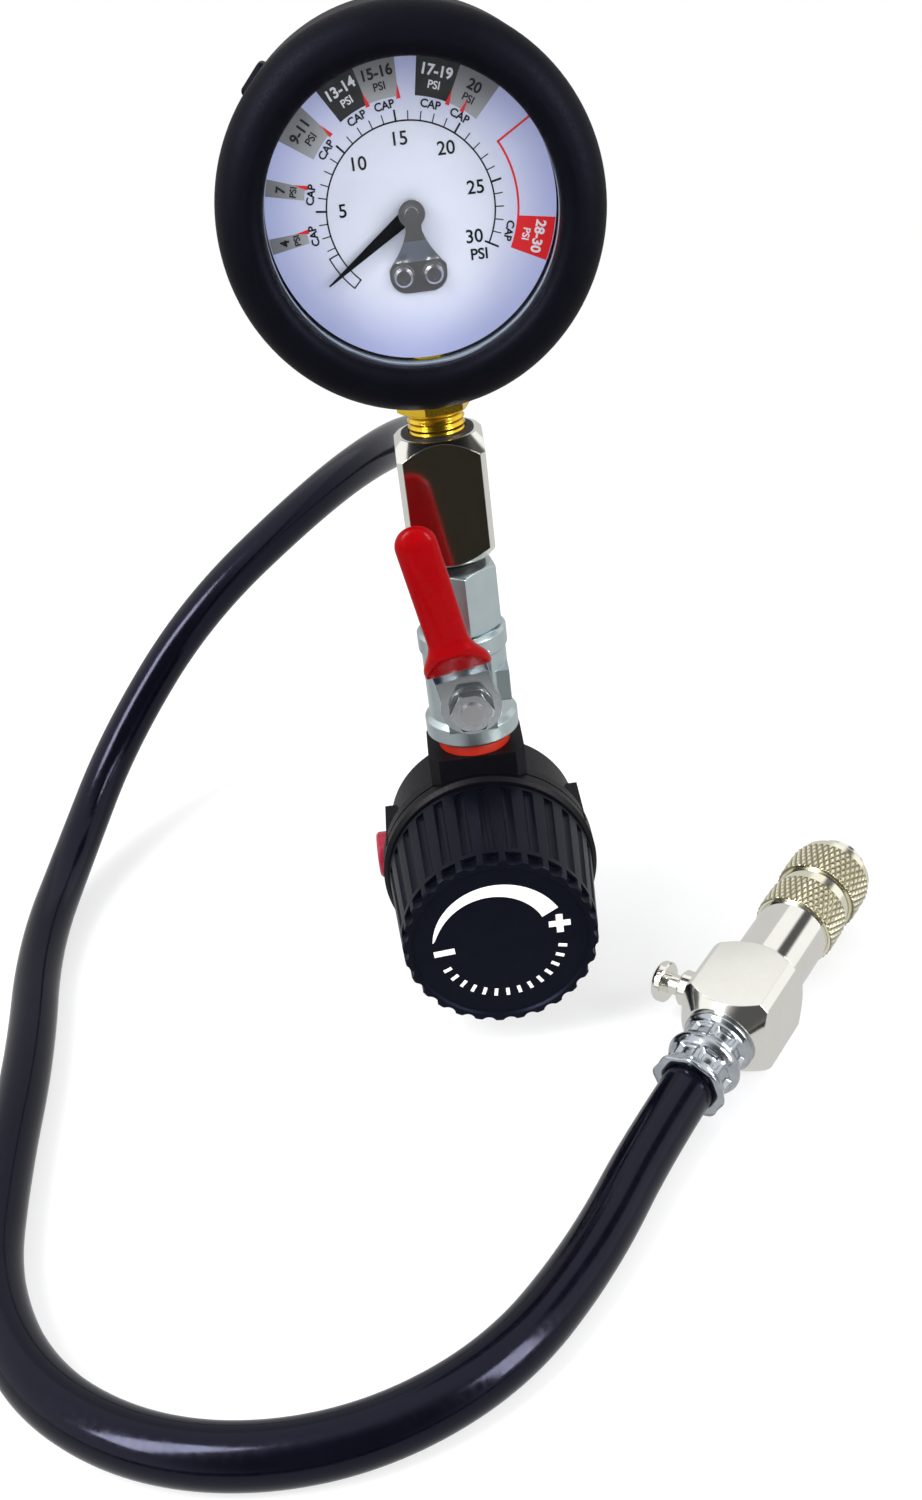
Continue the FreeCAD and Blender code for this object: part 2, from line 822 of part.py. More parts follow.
def pointer_bridge():
    foot_low = dial_front
    side = [
        (bridge_foot_bottom, foot_low), (bridge_bend_low, foot_low),
        (bridge_bend_high, foot_low + bridge_rise), (bridge_eye_radius, foot_low + bridge_rise),
        (bridge_eye_radius, foot_low + bridge_rise + bridge_thickness),
        (bridge_bend_high, foot_low + bridge_rise + bridge_thickness),
        (bridge_bend_low, foot_low + bridge_thickness),
        (bridge_foot_bottom, foot_low + bridge_thickness)]
    wide = bridge_foot_half + overcut
    ring = Part.makePolygon([V(-wide, y, h) for y, h in side + [side[0]]])
    strip = Part.Face(ring).extrude(V(2 * wide, 0, 0))
    half, low, eye = bridge_foot_half, bridge_foot_bottom, bridge_eye_radius
    corner = 3.6
    neck_y = -3.6
    neck = 1.8
    shoulder_y = bridge_screw_z + 1.8

    def edge(a, b):
        return Part.LineSegment(V(*a, 0), V(*b, 0)).toShape()

    def arc(a, b, c):
        return Part.Arc(V(*a, 0), V(*b, 0), V(*c, 0)).toShape()

    neck_top = -math.sqrt(eye ** 2 - neck ** 2)
    bend = corner * (1 - math.sqrt(0.5))
    bell = Part.Face(Part.Wire([
        edge((-half + corner, low), (half - corner, low)),
        arc((half - corner, low), (half - bend, low + bend), (half, low + corner)),
        edge((half, low + corner), (half, shoulder_y)),
        arc((half, shoulder_y), (neck + 1.4, (shoulder_y + neck_y) / 2 + 0.6), (neck, neck_y)),
        edge((neck, neck_y), (neck, neck_top)),
        arc((neck, neck_top), (0, eye), (-neck, neck_top)),
        edge((-neck, neck_top), (-neck, neck_y)),
        arc((-neck, neck_y), (-neck - 1.4, (shoulder_y + neck_y) / 2 + 0.6), (-half, shoulder_y)),
        edge((-half, shoulder_y), (-half, low + corner)),
        arc((-half, low + corner), (-half + bend, low + bend), (-half + corner, low)),
    ])).extrude(V(0, 0, 20))
    plate = strip.common(bell)
    top = foot_low + bridge_rise + bridge_thickness
    plate = plate.fuse(tube(bridge_boss_radius, 0, top - 0.1, top + bridge_boss_height))
    plate = plate.cut(tube(pivot_radius + running_clearance, 0, 0, top + end_gap))
    for spot in screw_places():
        plate = plate.cut(place(tube(bridge_screw_radius + running_clearance, 0, 0, 20), spot))
    return on_gauge(solid_of(plate))


def bridge_screws():
    seat = dial_front + bridge_thickness
    rim = seat + screw_washer_height
    top = rim + bridge_screw_head_height
    screw = turned([
        (0, front_plate_rear), (bridge_screw_radius, front_plate_rear), (bridge_screw_radius, seat),
        (screw_washer_radius, seat), (screw_washer_radius, rim), (bridge_screw_head_radius, rim),
        (bridge_screw_head_radius, top - 0.5), (bridge_screw_head_radius - 0.5, top), (0, top)])
    half, wide = cross_recess_length / 2, cross_recess_width / 2
    floor = top - cross_recess_depth
    screw = screw.cut(box((-half, half), (-wide, wide), (floor, top + overcut)))
    screw = screw.cut(box((-wide, wide), (-half, half), (floor, top + overcut)))
    return on_gauge(Part.makeCompound([place(screw, spot) for spot in screw_places()]))


def gauge_parts():
    return {
        "gauge_boot": gauge_boot(), "gauge_case": gauge_case(), "gauge_lens": gauge_lens(),
        "dial_plate": dial_plate(), "pointer": pointer(), "pointer_arbor": pointer_arbor(),
        "pointer_bridge": pointer_bridge(), "bridge_screws": bridge_screws(),
        "movement_front_plate": movement_front_plate(), "movement_back_plate": movement_back_plate(),
        "movement_pillars": movement_pillars(), "sector_gear": sector_gear(),
        "drive_link": drive_link(), "hairspring": hairspring(), "bourdon_tube": bourdon_tube(),
        "bourdon_tip": bourdon_tip(), "gauge_stem": gauge_stem(),
    }


# ---------------------------------------------------------------- tee block

def pipe_bore(depth, low):
    """The cutter of a threaded port, upwards from a height."""
    return tube(pipe_thread_radius + thread_clearance, 0, low, low + depth)


def tee_block():
    half = block_length / 2
    block = square_bar(block_width, block_corner_radius, block_end_radius, -half, half)
    block = block.cut(pipe_bore(block_thread_depth + overcut, half - block_thread_depth))
    block = block.cut(pipe_bore(block_thread_depth + overcut, -half - overcut))
    block = block.cut(tube(pipe_bore_radius, 0, -half, half))
    block = block.cut(tube(stem_seal_radius + thread_clearance, 0, half - stem_seal_sink, half + overcut))
    rear = pipe_bore(block_rear_thread_depth + overcut, block_width / 2 - block_rear_thread_depth)
    rear = rear.fuse(tube(pipe_bore_radius, 0, 0, block_width / 2))
    block = block.cut(place(rear, V(), BACK, RIGHT))
    return place(block, block_centre)


def tee_parts():
    low = block_top_z - stem_seal_sink
    bore = pipe_thread_radius + thread_clearance
    return {
        "tee_block": tee_block(),
        "stem_seal": tube(stem_seal_radius, bore, low, low + stem_seal_height),
        "nipple_seal": tube(nipple_seal_radius, bore, valve_top_z, valve_top_z + nipple_seal_height),
    }


# ---------------------------------------------------------------- ball valve

chamber_radius = ball_radius + 0.6
chamber_low = -(ball_radius + 0.5)
stem_bore = stem_radius + running_clearance
gland_nut_front = gland_boss_front + gland_nut_height
lever_rear = gland_nut_front + lever_standoff
lever_front = lever_rear + lever_thickness
washer_front = lever_front + washer_thickness
lever_nut_front = washer_front + lever_nut_height


def across_valve(shape):
    """Puts a shape built on Z on the valve's stem, pointing to the front."""
    return place(shape, valve_centre, FRONT, RIGHT)


def valve_body():
    foot = valve_foot_z
    top = valve_end_z
    waist_low = foot + valve_flange_height
    waist_high = top - valve_collar_height
    shell = turned([
        (0, foot), (valve_flange_radius - 0.8, foot), (valve_flange_radius, foot + 0.8),
        (valve_flange_radius, waist_low - 1.2), (valve_waist_radius, waist_low),
        (valve_waist_radius, waist_high - 0.8), (valve_collar_radius, waist_high),
        (valve_collar_radius, top - 0.8), (valve_collar_radius - 0.8, top), (0, top)])
    stub_end = port_span - port_thread_depth + end_gap
    stub = threads(pipe_thread_radius, pipe_thread_depth, pipe_thread_pitch, stub_end, foot)
    boss = across_valve(tube(gland_boss_radius, 0, 0, gland_boss_front))
    fairing = box((-gland_boss_radius, gland_boss_radius), (-gland_boss_front + 2.2, 0),
                  (waist_low - 1, waist_high + 1))
    lug = box((valve_waist_radius - 0.1 - stop_lug_width, valve_waist_radius - 0.1),
              (-stop_lug_front, 0), (foot + stop_lug_low, foot + stop_lug_low + stop_lug_height))
    body = fused([shell, stub, boss, fairing, lug])
    bore = tube(ball_bore_radius, 0, stub_end - overcut, valve_axis_z)
    body = body.cut(bore)
    body = body.cut(tube(chamber_radius, 0, valve_axis_z + chamber_low, top + 2 * overcut))
    body = body.cut(across_valve(tube(stem_bore, 0, 0, gland_boss_front + overcut)))
    packing = tube(packing_radius + running_clearance, 0, gland_boss_front - packing_length,
                   gland_boss_front + overcut)
    return solid_of(body.cut(across_valve(packing)))


def valve_end():
    hexagon_part = chamfered_hexagon(valve_hex_flats, valve_end_z, valve_top_z, 1.6, valve_hex_turn + 30)
    spigot = tube(chamber_radius - thread_clearance, 0, valve_end_z - valve_spigot_length, valve_end_z)
    nipple = threads(pipe_thread_radius, pipe_thread_depth, pipe_thread_pitch, valve_top_z,
                     block_base_z + block_thread_depth - end_gap)
    end = fused([hexagon_part, spigot, nipple])
    return solid_of(end.cut(tube(ball_bore_radius, 0, valve_end_z - 10, block_top_z)))


def valve_ball():
    ball = Part.makeSphere(ball_radius)
    ball = ball.cut(tube(ball_bore_radius, 0, -ball_radius - overcut, ball_radius + overcut))
    half = tang_width / 2 + running_clearance
    floor = ball_radius - ball_slot_depth
    slot = box((-half, half), (-ball_radius - overcut, -floor), (-ball_radius, ball_radius))
    return place(solid_of(ball.cut(slot)), valve_centre)


def ball_seats():
    low = chamber_low
    ring = tube(chamber_radius - 2 * running_clearance, ball_bore_radius, low, low + seat_height)
    ring = ring.cut(Part.makeSphere(ball_radius + running_clearance))
    upper = place(ring, V(), DOWN, RIGHT)
    return place(Part.makeCompound([solid_of(ring), solid_of(upper)]), valve_centre)


def valve_stem():
    """Tang in the ball, shaft through the gland, flats in the lever, thread in the nut."""
    shoulder = ball_radius - ball_slot_depth + end_gap
    shaft_start = ball_radius + 0.3
    shaft = tube(stem_radius, 0, shaft_start, lever_front)
    thread = tube(stem_tip_radius, 0, lever_front, lever_nut_front + stem_tip_show)
    half, tall = tang_width / 2, tang_height / 2
    tang = box((-half, half), (-tall, tall), (shoulder, shaft_start))
    shaft = fused([shaft, thread, tang])
    flat = 2.2
    for side in (-1, 1):
        cut = box((min(side * flat, side * 9), max(side * flat, side * 9)), (-9, 9),
                  (gland_nut_front, lever_front))
        shaft = shaft.cut(cut)
    return across_valve(solid_of(shaft))


def lever_side(low_offset, high_offset, start, end):
    """The lever's bent strip, seen from the side, as (height, distance ahead) points
    between two offsets from its back face."""
    def ahead(height):
        if height <= lever_bend_start:
            return lever_rear
        if height <= lever_bend_end:
            share = (height - lever_bend_start) / (lever_bend_end - lever_bend_start)
            return lever_rear + share * lever_bend_offset
        share = (height - lever_bend_end) / (lever_length - lever_bend_end)
        return lever_rear + lever_bend_offset + share * (lever_tip_offset - lever_bend_offset)

    heights = [start] + [h for h in (lever_bend_start, lever_bend_end) if start < h < end] + [end]
    back = [(h, ahead(h) + low_offset) for h in heights]
    return back + [(h, ahead(h) + high_offset) for h in reversed(heights)]


def side_strip(points, half):
    ring = [V(-half, height, ahead) for height, ahead in points]
    return Part.Face(Part.makePolygon(ring + [ring[0]])).extrude(V(2 * half, 0, 0))


def lever_front_shape(eye, root, blade, root_top, end, low):
    """The lever seen from the front: a round eye, a wide root and a blade with a round tip."""
    tip = end - blade
    outline_points = [(-root, low), (root, low), (root, root_top - 6), (blade, root_top), (blade, tip),
                      (-blade, tip), (-blade, root_top), (-root, root_top - 6)]
    shape = prism(outline_points, 0, 60).fuse(place(tube(blade, 0, 0, 60), V(0, tip, 0)))
    if eye:
        shape = shape.fuse(tube(eye, 0, 0, 60))
    return shape


def on_lever(shape):
    """The lever leans to the left of the pipe while the valve is open."""
    shape.rotate(V(), UP, lever_lean)
    return across_valve(shape)


def lever_blank():
    strip = side_strip(lever_side(0, lever_thickness, -lever_eye_radius, lever_length), 12)
    front = lever_front_shape(lever_eye_radius, lever_root_half, lever_blade_half, sleeve_skirt_top,
                              lever_length, 0)
    return strip.common(front)


def valve_lever():
    hole = tube(stem_bore, 0, lever_rear - overcut, lever_front + overcut)
    return on_lever(solid_of(lever_blank().cut(hole)))


def lever_sleeve():
    strip = side_strip(lever_side(-sleeve_wall, lever_thickness + sleeve_wall, sleeve_start,
                                  lever_length + sleeve_wall), 12)
    front = lever_front_shape(0, sleeve_skirt_half, lever_blade_half + sleeve_wall, sleeve_skirt_top,
                              lever_length + sleeve_wall, 0)
    return on_lever(solid_of(strip.common(front).cut(lever_blank())))


def valve_parts():
    bore = stem_bore
    seal_bore = pipe_thread_radius + thread_clearance
    packing = tube(packing_radius, bore, gland_boss_front - packing_length, gland_boss_front)
    nut = chamfered_hexagon(gland_nut_flats, gland_boss_front, gland_nut_front, 0.6)
    washer = tube(washer_radius, bore, lever_front, washer_front)
    lever_nut = chamfered_hexagon(lever_nut_flats, washer_front, lever_nut_front, 0.6)
    nut_bore = stem_tip_radius + running_clearance
    return {
        "port_seal": tube(port_seal_radius, seal_bore, port_span, valve_foot_z),
        "valve_body": valve_body(), "valve_end": valve_end(), "valve_ball": valve_ball(),
        "ball_seats": ball_seats(), "valve_stem": valve_stem(),
        "stem_packing": across_valve(packing),
        "gland_nut": across_valve(nut.cut(tube(bore, 0, 0, 60))),
        "valve_lever": valve_lever(), "lever_sleeve": lever_sleeve(),
        "lever_washer": across_valve(washer),
        "lever_nut": across_valve(lever_nut.cut(tube(nut_bore, 0, 0, 60))),
    }


# ---------------------------------------------------------------- regulator
# Heights here run along the knob's axis from the pipe's axis, front positive.

diaphragm_radius = collar_radius - diaphragm_inset
web_front = body_front - diaphragm_chamber_depth
web_rear = web_front - orifice_wall
bonnet_rear = body_front + diaphragm_thickness
collar_front = bonnet_rear + collar_height
seat_front = bonnet_rear + spring_seat_thickness
knob_disc_rear = knob_front - knob_disc_thickness
screw_head_rear = knob_disc_rear - screw_head_height
tower_lid_rear = tower_top - tower_lid


def on_regulator(shape):
    return place(shape, regulator_centre, FRONT, RIGHT)


def regulator_body():
    half_w, half_d = boss_width / 2, boss_depth / 2
    half_side = side_boss_width / 2
    reach = port_span / 2
    hub = tube(hub_radius, 0, -hub_rear, body_front)
    corner_w, corner_d = half_w - boss_chamfer, half_d - boss_chamfer
    column = prism([
        (-half_w, -corner_d), (-corner_w, -half_d), (corner_w, -half_d), (half_w, -corner_d),
        (half_w, corner_d), (corner_w, half_d), (-corner_w, half_d), (-half_w, corner_d)], -reach, reach)
    column.rotate(V(), RIGHT, 90)
    sides = box((-side_boss_reach, side_boss_reach), (-half_side, half_side), (-half_d, half_d))
    flange = tube(collar_radius, 0, body_front - body_flange_height, body_front)
    body = fused([hub, flange, column, sides])
    body = body.cut(tube(collar_radius + end_gap, 0, body_front, half_d + overcut))
    body = body.cut(tube(diaphragm_chamber_radius, 0, web_front, body_front + overcut))
    body = body.cut(tube(orifice_radius, 0, web_rear - overcut, web_front + overcut))
    body = body.cut(tube(poppet_chamber_radius, 0, -hub_rear, web_rear))
    body = body.cut(tube(cap_spigot_radius + thread_clearance, 0, -hub_rear - overcut,
                         -hub_rear + cap_spigot_length + end_gap))
    bore = pipe_thread_radius + thread_clearance
    port_floor = reach - port_thread_depth
    for side in (-1, 1):
        body = body.cut(rod(bore, V(0, side * port_floor, 0), V(0, side * (reach + overcut), 0)))
        side_floor = side_boss_reach - side_port_depth
        body = body.cut(rod(side_port_radius + thread_clearance, V(side * side_floor, 0, -side_port_setback),
                            V(side * (side_boss_reach + overcut), 0, -side_port_setback)))
        body = body.cut(rod(plug_head_radius + running_clearance, V(side * side_boss_reach, 0, -side_port_setback),
                            V(side * (side_boss_reach + hub_radius), 0, -side_port_setback)))
        tap_end = V(side * (diaphragm_chamber_radius - 4), 0, body_front)
        body = body.cut(rod(tap_radius, V(side * (side_floor + 1), 0, -side_port_setback), tap_end))
    inlet_end = V(0, -poppet_chamber_radius + 2, web_rear - 3)
    body = body.cut(rod(passage_radius, V(0, -port_floor - 1, -1), inlet_end))
    outlet_end = V(0, port_floor - 8, body_front)
    body = body.cut(rod(passage_radius, V(0, port_floor + 1, 0), outlet_end))
    return on_regulator(solid_of(body))


def valve_cap():
    low = -hub_rear - cap_hex_height
    cap = chamfered_hexagon(cap_hex_flats, low, -hub_rear, 1.2)
    spigot = tube(cap_spigot_radius, 0, -hub_rear, -hub_rear + cap_spigot_length)
    top = -hub_rear + cap_spigot_length
    cap = fused([cap, spigot]).cut(tube(cap_spring_bore, 0, top - cap_spring_depth, top + overcut))
    return on_regulator(cap)


def poppet():
    head_top = web_rear - 0.05
    head_low = head_top - poppet_head_height
    pin_top = body_front - 0.02
    return on_regulator(turned([
        (0, head_low - poppet_tail_length), (poppet_tail_radius, head_low - poppet_tail_length),
        (poppet_tail_radius, head_low), (poppet_head_radius, head_low),
        (poppet_head_radius, head_top - 0.6), (poppet_stem_radius + 0.9, head_top),
        (poppet_stem_radius, head_top + 0.8), (poppet_stem_radius, pin_top), (0, pin_top)]))


def regulator_springs():
    cap_floor = -hub_rear + cap_spigot_length - cap_spring_depth
    head_low = web_rear - 0.05 - poppet_head_height
    return {
        "poppet_spring": on_regulator(coil(poppet_spring_radius, poppet_spring_wire, poppet_spring_turns,
                                           cap_floor, head_low)),
        "range_spring": on_regulator(coil(range_spring_radius, range_spring_wire, range_spring_turns,
                                          seat_front, nut_rest)),
    }


def spring_seat():
    return on_regulator(turned([
        (0, bonnet_rear), (spring_seat_radius, bonnet_rear), (spring_seat_radius, seat_front),
        (spring_pilot_radius, seat_front), (spring_pilot_radius - 1, seat_front + spring_pilot_height),
        (0, seat_front + spring_pilot_height)]))


def key_bar(width, reach, low, high):
    return box((-reach, reach), (-width / 2, width / 2), (low, high))


def bonnet():
    cavity = tower_radius - tower_wall
    shell = turned([
        (spring_seat_radius + 2.5, bonnet_rear), (collar_radius, bonnet_rear),
        (collar_radius, collar_front - 1), (collar_radius - 1, collar_front),
        (tower_radius + 1.5, collar_front), (tower_radius, collar_front + 1.5),
        (tower_radius, tower_top - 0.8), (tower_radius - 0.8, tower_top),
        (screw_shank_radius + running_clearance, tower_top),
        (screw_shank_radius + running_clearance, tower_lid_rear), (cavity, tower_lid_rear),
        (cavity, collar_front), (spring_seat_radius + 2.5, collar_front - 2)])
    groove = key_bar(nut_key_width + 0.2, nut_key_reach + 0.1, seat_front + 10, tower_lid_rear)
    return on_regulator(solid_of(shell.cut(groove)))


def adjusting_nut():
    high = nut_rest + nut_thickness
    disc = tube(nut_radius, 0, nut_rest, high)
    keys = key_bar(nut_key_width, nut_key_reach - 0.1, nut_rest, high)
    keys = keys.common(tube(nut_key_reach, 0, nut_rest, high))
    bore = tube(screw_thread_radius + running_clearance, 0, nut_rest - overcut, high + overcut)
    return on_regulator(fused([disc, keys]).cut(bore))


def adjusting_screw():
    collar_top = tower_lid_rear - running_clearance
    collar_low = collar_top - screw_collar_height
    return on_regulator(turned([
        (0, screw_end), (screw_thread_radius - 0.8, screw_end), (screw_thread_radius, screw_end + 0.8),
        (screw_thread_radius, collar_low), (screw_collar_radius, collar_low),
        (screw_collar_radius, collar_top), (screw_shank_radius, collar_top),
        (screw_shank_radius, screw_head_rear), (screw_head_radius, screw_head_rear),
        (screw_head_radius, knob_disc_rear), (0, knob_disc_rear)]))


def adjusting_knob():
    slope = (knob_rear_radius - knob_front_radius) / (knob_front - knob_rear)

    def skin(height):
        return knob_rear_radius - slope * (height - knob_rear)

    face = knob_front - knob_rim_height
    rim_inner = knob_front_radius - knob_rim_width
    shell = turned([
        (knob_rear_radius - knob_wall, knob_rear), (knob_rear_radius - 0.5, knob_rear),
        (knob_rear_radius, knob_rear + 0.5), (skin(knob_front - knob_edge_chamfer), knob_front - knob_edge_chamfer),
        (knob_front_radius - knob_edge_chamfer, knob_front), (rim_inner, knob_front),
        (rim_inner - 0.5, face), (0, face), (0, knob_disc_rear),
        (skin(knob_disc_rear) - knob_wall, knob_disc_rear)])
    hub = tube(knob_hub_radius, screw_head_radius, screw_head_rear + 0.3, knob_disc_rear)
    knob = shell.fuse(hub)
    cutters = []
    for i in range(knob_ribs):
        turn = 360.0 * i / knob_ribs
        low, high = knob_rear + 1.6, knob_front - 5.0
        lift = knob_groove_radius - knob_groove_depth
        groove = rod(knob_groove_radius, V(skin(low) + lift, 0, low), V(skin(high) + lift, 0, high))
        reach = skin(knob_front) + knob_scallop_radius - knob_scallop_depth
        scallop = rod(knob_scallop_radius, V(reach, 0, knob_front - 3.6), V(reach, 0, knob_front + overcut))
        for cutter in (groove, scallop):
            cutter.rotate(V(), UP, turn)
            cutters.append(cutter)
    knob = knob.cut(cutters)
    return on_regulator(solid_of(knob))


def port_plug(side, head):
    """A plug in a side port: with a round head, or flush with a hexagon socket."""
    floor = side_boss_reach - plug_thread_length
    plug = tube(side_port_radius, 0, floor, side_boss_reach)
    if head:
        plug = fused([plug, turned([
            (0, side_boss_reach), (plug_head_radius, side_boss_reach),
            (plug_head_radius, side_boss_reach + plug_head_height - 0.6),
            (plug_head_radius - 0.6, side_boss_reach + plug_head_height),
            (0, side_boss_reach + plug_head_height)])])
    else:
        plug = plug.cut(hexagon(plug_hex_flats, side_boss_reach - plug_hex_depth, side_boss_reach + overcut))
    return place(plug, regulator_centre + BACK * side_port_setback, side, UP)


def regulator_parts():
    diaphragm = tube(diaphragm_radius, 0, body_front, bonnet_rear)
    parts = {
        "regulator_body": regulator_body(), "valve_cap": valve_cap(), "poppet": poppet(),
        "diaphragm": on_regulator(diaphragm), "spring_seat": spring_seat(), "bonnet": bonnet(),
        "adjusting_nut": adjusting_nut(), "adjusting_screw": adjusting_screw(),
        "adjusting_knob": adjusting_knob(), "port_plug_left": port_plug(LEFT, True),
        "port_plug_right": port_plug(RIGHT, False),
    }
    parts.update(regulator_springs())
    return parts


# ---------------------------------------------------------------- hose

def bend_radius(before, point, after):
    a, b = point - before, after - point
    turn = a.getAngle(b)
    return 0.45 * min(a.Length, b.Length) / math.tan(turn / 2)


def route_edges(points):
    """Straight runs joined by tangent arcs, each as large as its two runs allow."""
    edges, here = [], points[0]
    for before, point, after in zip(points, points[1:], points[2:]):
        a, b = (point - before), (after - point)
        reach = 0.45 * min(a.Length, b.Length)
        a.normalize()
        b.normalize()
        start, end = point - a * reach, point + b * reach
        turn = a.getAngle(b)
        radius = reach / math.tan(turn / 2)
        inward = (b - a).normalize()
        middle = point + inward * (radius / math.cos(turn / 2) - radius)
        edges.append(Part.LineSegment(here, start).toShape())
        edges.append(Part.Arc(start, middle, end).toShape())
        here = end
    edges.append(Part.LineSegment(here, points[-1]).toShape())
    return edges


def hose():
    points = [hose_start] + hose_route + [hose_end]
    radii = [bend_radius(*three) for three in zip(points, points[1:], points[2:])]
    print("hose bend radii", [round(r) for r in radii], "smallest", round(min(radii), 1))
    path = Part.Wire(route_edges(points))
    along = points[1] - points[0]
    skins = [Part.Wire(Part.makeCircle(radius, points[0], along))
             for radius in (hose_radius, hose_bore_radius)]
    outer, inner = (path.makePipeShell([skin], True, True) for skin in skins)
    result = outer.cut(inner)
    section = math.pi * (hose_radius ** 2 - hose_bore_radius ** 2)
    print("hose length %.1f volume %.0f expected %.0f" % (path.Length, result.Volume, section * path.Length))
    return result


def ferrule():
    """A crimped shell from the fitting's side at 0 to the hose's side."""
    bore = hose_radius + 0.1
    end, bulge, neck = ferrule_end_radius, ferrule_radius, ferrule_neck_radius
    long = ferrule_length
    throat = barb_collar_radius + 0.05
    return turned([
        (throat, 0), (end, 0), (end + 0.6, long * 0.07, end, long * 0.18),
        (neck, long * 0.26, end, long * 0.36), (bulge, long * 0.5, end, long * 0.63),
        (neck, long * 0.72, end, long * 0.82), (end + 0.5, long * 0.93, end - 0.6, long),
        (bore, long), (bore, ferrule_lip), (throat, ferrule_lip)])


def barb(thread_radius, thread_depth):
    """A hose tail: its thread below 0, a collar, and ridges inside the hose."""
    ridge = (barb_length - barb_collar_length) / barb_ridges
    points = [(barb_bore_radius, -thread_depth), (thread_radius, -thread_depth), (thread_radius, 0),
              (barb_collar_radius, 0), (barb_collar_radius, barb_collar_length)]
    for i in range(barb_ridges):
        base = barb_collar_length + i * ridge
        points += [(barb_root_radius, base), (barb_radius, base), (barb_radius, base + 0.6),
                   (barb_root_radius, base + ridge)]
    points.append((barb_bore_radius, barb_length))
    return turned(points)


def hose_parts():
    rear_face = V(0, block_width / 2, block_z)
    coupler_rear = coupler_centre - coupler_axis * (coupler_block_length / 2)
    back = coupler_axis * -1
    return {
        "hose": hose(),
        "hose_barb_rear": place(barb(pipe_thread_radius, block_rear_thread_depth), rear_face, BACK, RIGHT),
        "hose_ferrule_rear": place(ferrule(), rear_face, BACK, RIGHT),
        "hose_barb_coupler": place(barb(coupler_barb_radius, coupler_barb_depth),
                                   coupler_rear, back, coupler_up),
        "hose_ferrule_coupler": place(ferrule(), coupler_rear, back, coupler_up),
    }


# ---------------------------------------------------------------- quick coupler
# Built along +Z from the middle of its block. +X is its top and -Y its left.

block_half = coupler_block_length / 2
knurl_rear_end = sleeve_rear + knurl_rear_length
groove_end = knurl_rear_end + knurl_groove_length
knurl_front_end = groove_end + knurl_front_length
sleeve_front = knurl_front_end + sleeve_collar_length
coupler_tip = sleeve_front + mouth_length
land_rear = ball_plane - ball_land_length / 2
land_front = ball_plane + ball_land_length / 2


def on_coupler(shape):
    return place(shape, coupler_centre, coupler_axis, coupler_up)


def to_left(shape):
    """Puts a shape built on Z on the coupler's left side, from the middle of its block."""
    return place(shape, V(), V(0, -1, 0), RIGHT)


def coupler_block():
    block = square_bar(coupler_block_width, coupler_corner_radius, coupler_block_end_radius,
                       -block_half, block_half)
    front = tube(coupler_thread_radius + thread_clearance, 0, block_half - coupler_thread_depth,
                 block_half + overcut)
    rear = tube(coupler_barb_radius + thread_clearance, 0, -block_half - overcut,
                -block_half + coupler_barb_depth)
    middle = tube(pipe_bore_radius, 0, -block_half, block_half)
    half = coupler_block_width / 2
    side = to_left(tube(release_thread_radius + thread_clearance, 0, pipe_bore_radius - 1, half + overcut))
    return on_coupler(solid_of(block.cut([front, rear, middle, side])))


def coupler_barrel():
    ring_rear = land_front + running_clearance
    ring_front = ring_rear + retaining_ring_thickness + 0.1
    groove = retaining_ring_inner - running_clearance
    socket_floor = coupler_tip - socket_depth
    mouth_floor = coupler_tip - socket_mouth_depth
    relief = socket_mouth_radius + socket_relief_depth
    shoulder = mouth_floor - socket_relief_width
    barrel = turned([
        (pipe_bore_radius, block_half - coupler_thread_depth + end_gap),
        (coupler_thread_radius, block_half - coupler_thread_depth + end_gap),
        (coupler_thread_radius, block_half), (barrel_radius, block_half),
        (barrel_radius, barrel_shoulder), (barrel_nose_radius, barrel_shoulder),
        (barrel_nose_radius, ring_rear), (groove, ring_rear), (groove, ring_front),
        (barrel_nose_radius, ring_front), (barrel_nose_radius, sleeve_front - 0.4),
        (barrel_mouth_radius, sleeve_front), (barrel_mouth_radius, coupler_tip - 0.5),
        (barrel_mouth_radius - 0.5, coupler_tip), (socket_mouth_radius, coupler_tip),
        (socket_mouth_radius, mouth_floor), (relief, mouth_floor), (relief, shoulder),
        (socket_radius, shoulder), (socket_radius, socket_floor),
        (pipe_bore_radius, socket_floor)])
    seal = torus_at(socket_radius, seal_ring_radius + running_clearance)
    barrel = barrel.cut(seal)
    hole_radius = locking_ball_radius + running_clearance
    holes = []
    for i in range(locking_balls_count):
        hole = rod(hole_radius, V(socket_radius - overcut, 0, ball_plane), V(barrel_radius, 0, ball_plane))
        hole.rotate(V(), UP, 360.0 * i / locking_balls_count)
        holes.append(hole)
    return on_coupler(solid_of(barrel.cut(holes)))


def torus_at(ring_radius, wire_radius):
    return Part.makeTorus(ring_radius, wire_radius, V(0, 0, seal_ring_plane), UP)


def coupler_sleeve():
    bore = barrel_nose_radius + running_clearance
    skirt = barrel_radius + running_clearance
    cone = 0.4
    return on_coupler(turned([
        (skirt, sleeve_rear), (knurl_rear_radius - cone, sleeve_rear),
        (knurl_rear_radius, sleeve_rear + cone), (knurl_rear_radius, knurl_rear_end - cone),
        (knurl_rear_radius - cone, knurl_rear_end), (knurl_groove_radius, knurl_rear_end),
        (knurl_groove_radius, groove_end), (knurl_front_radius - cone, groove_end),
        (knurl_front_radius, groove_end + cone), (knurl_front_radius, knurl_front_end - cone),
        (knurl_front_radius - cone, knurl_front_end), (sleeve_collar_radius, knurl_front_end),
        (sleeve_collar_radius, sleeve_front - 1.2), (sleeve_nose_radius, sleeve_front),
        (ball_release_radius, sleeve_front), (ball_release_radius, land_front),
        (ball_land_radius, land_front), (ball_land_radius, land_rear), (bore, land_rear),
        (bore, sleeve_shoulder), (skirt, sleeve_shoulder)]))


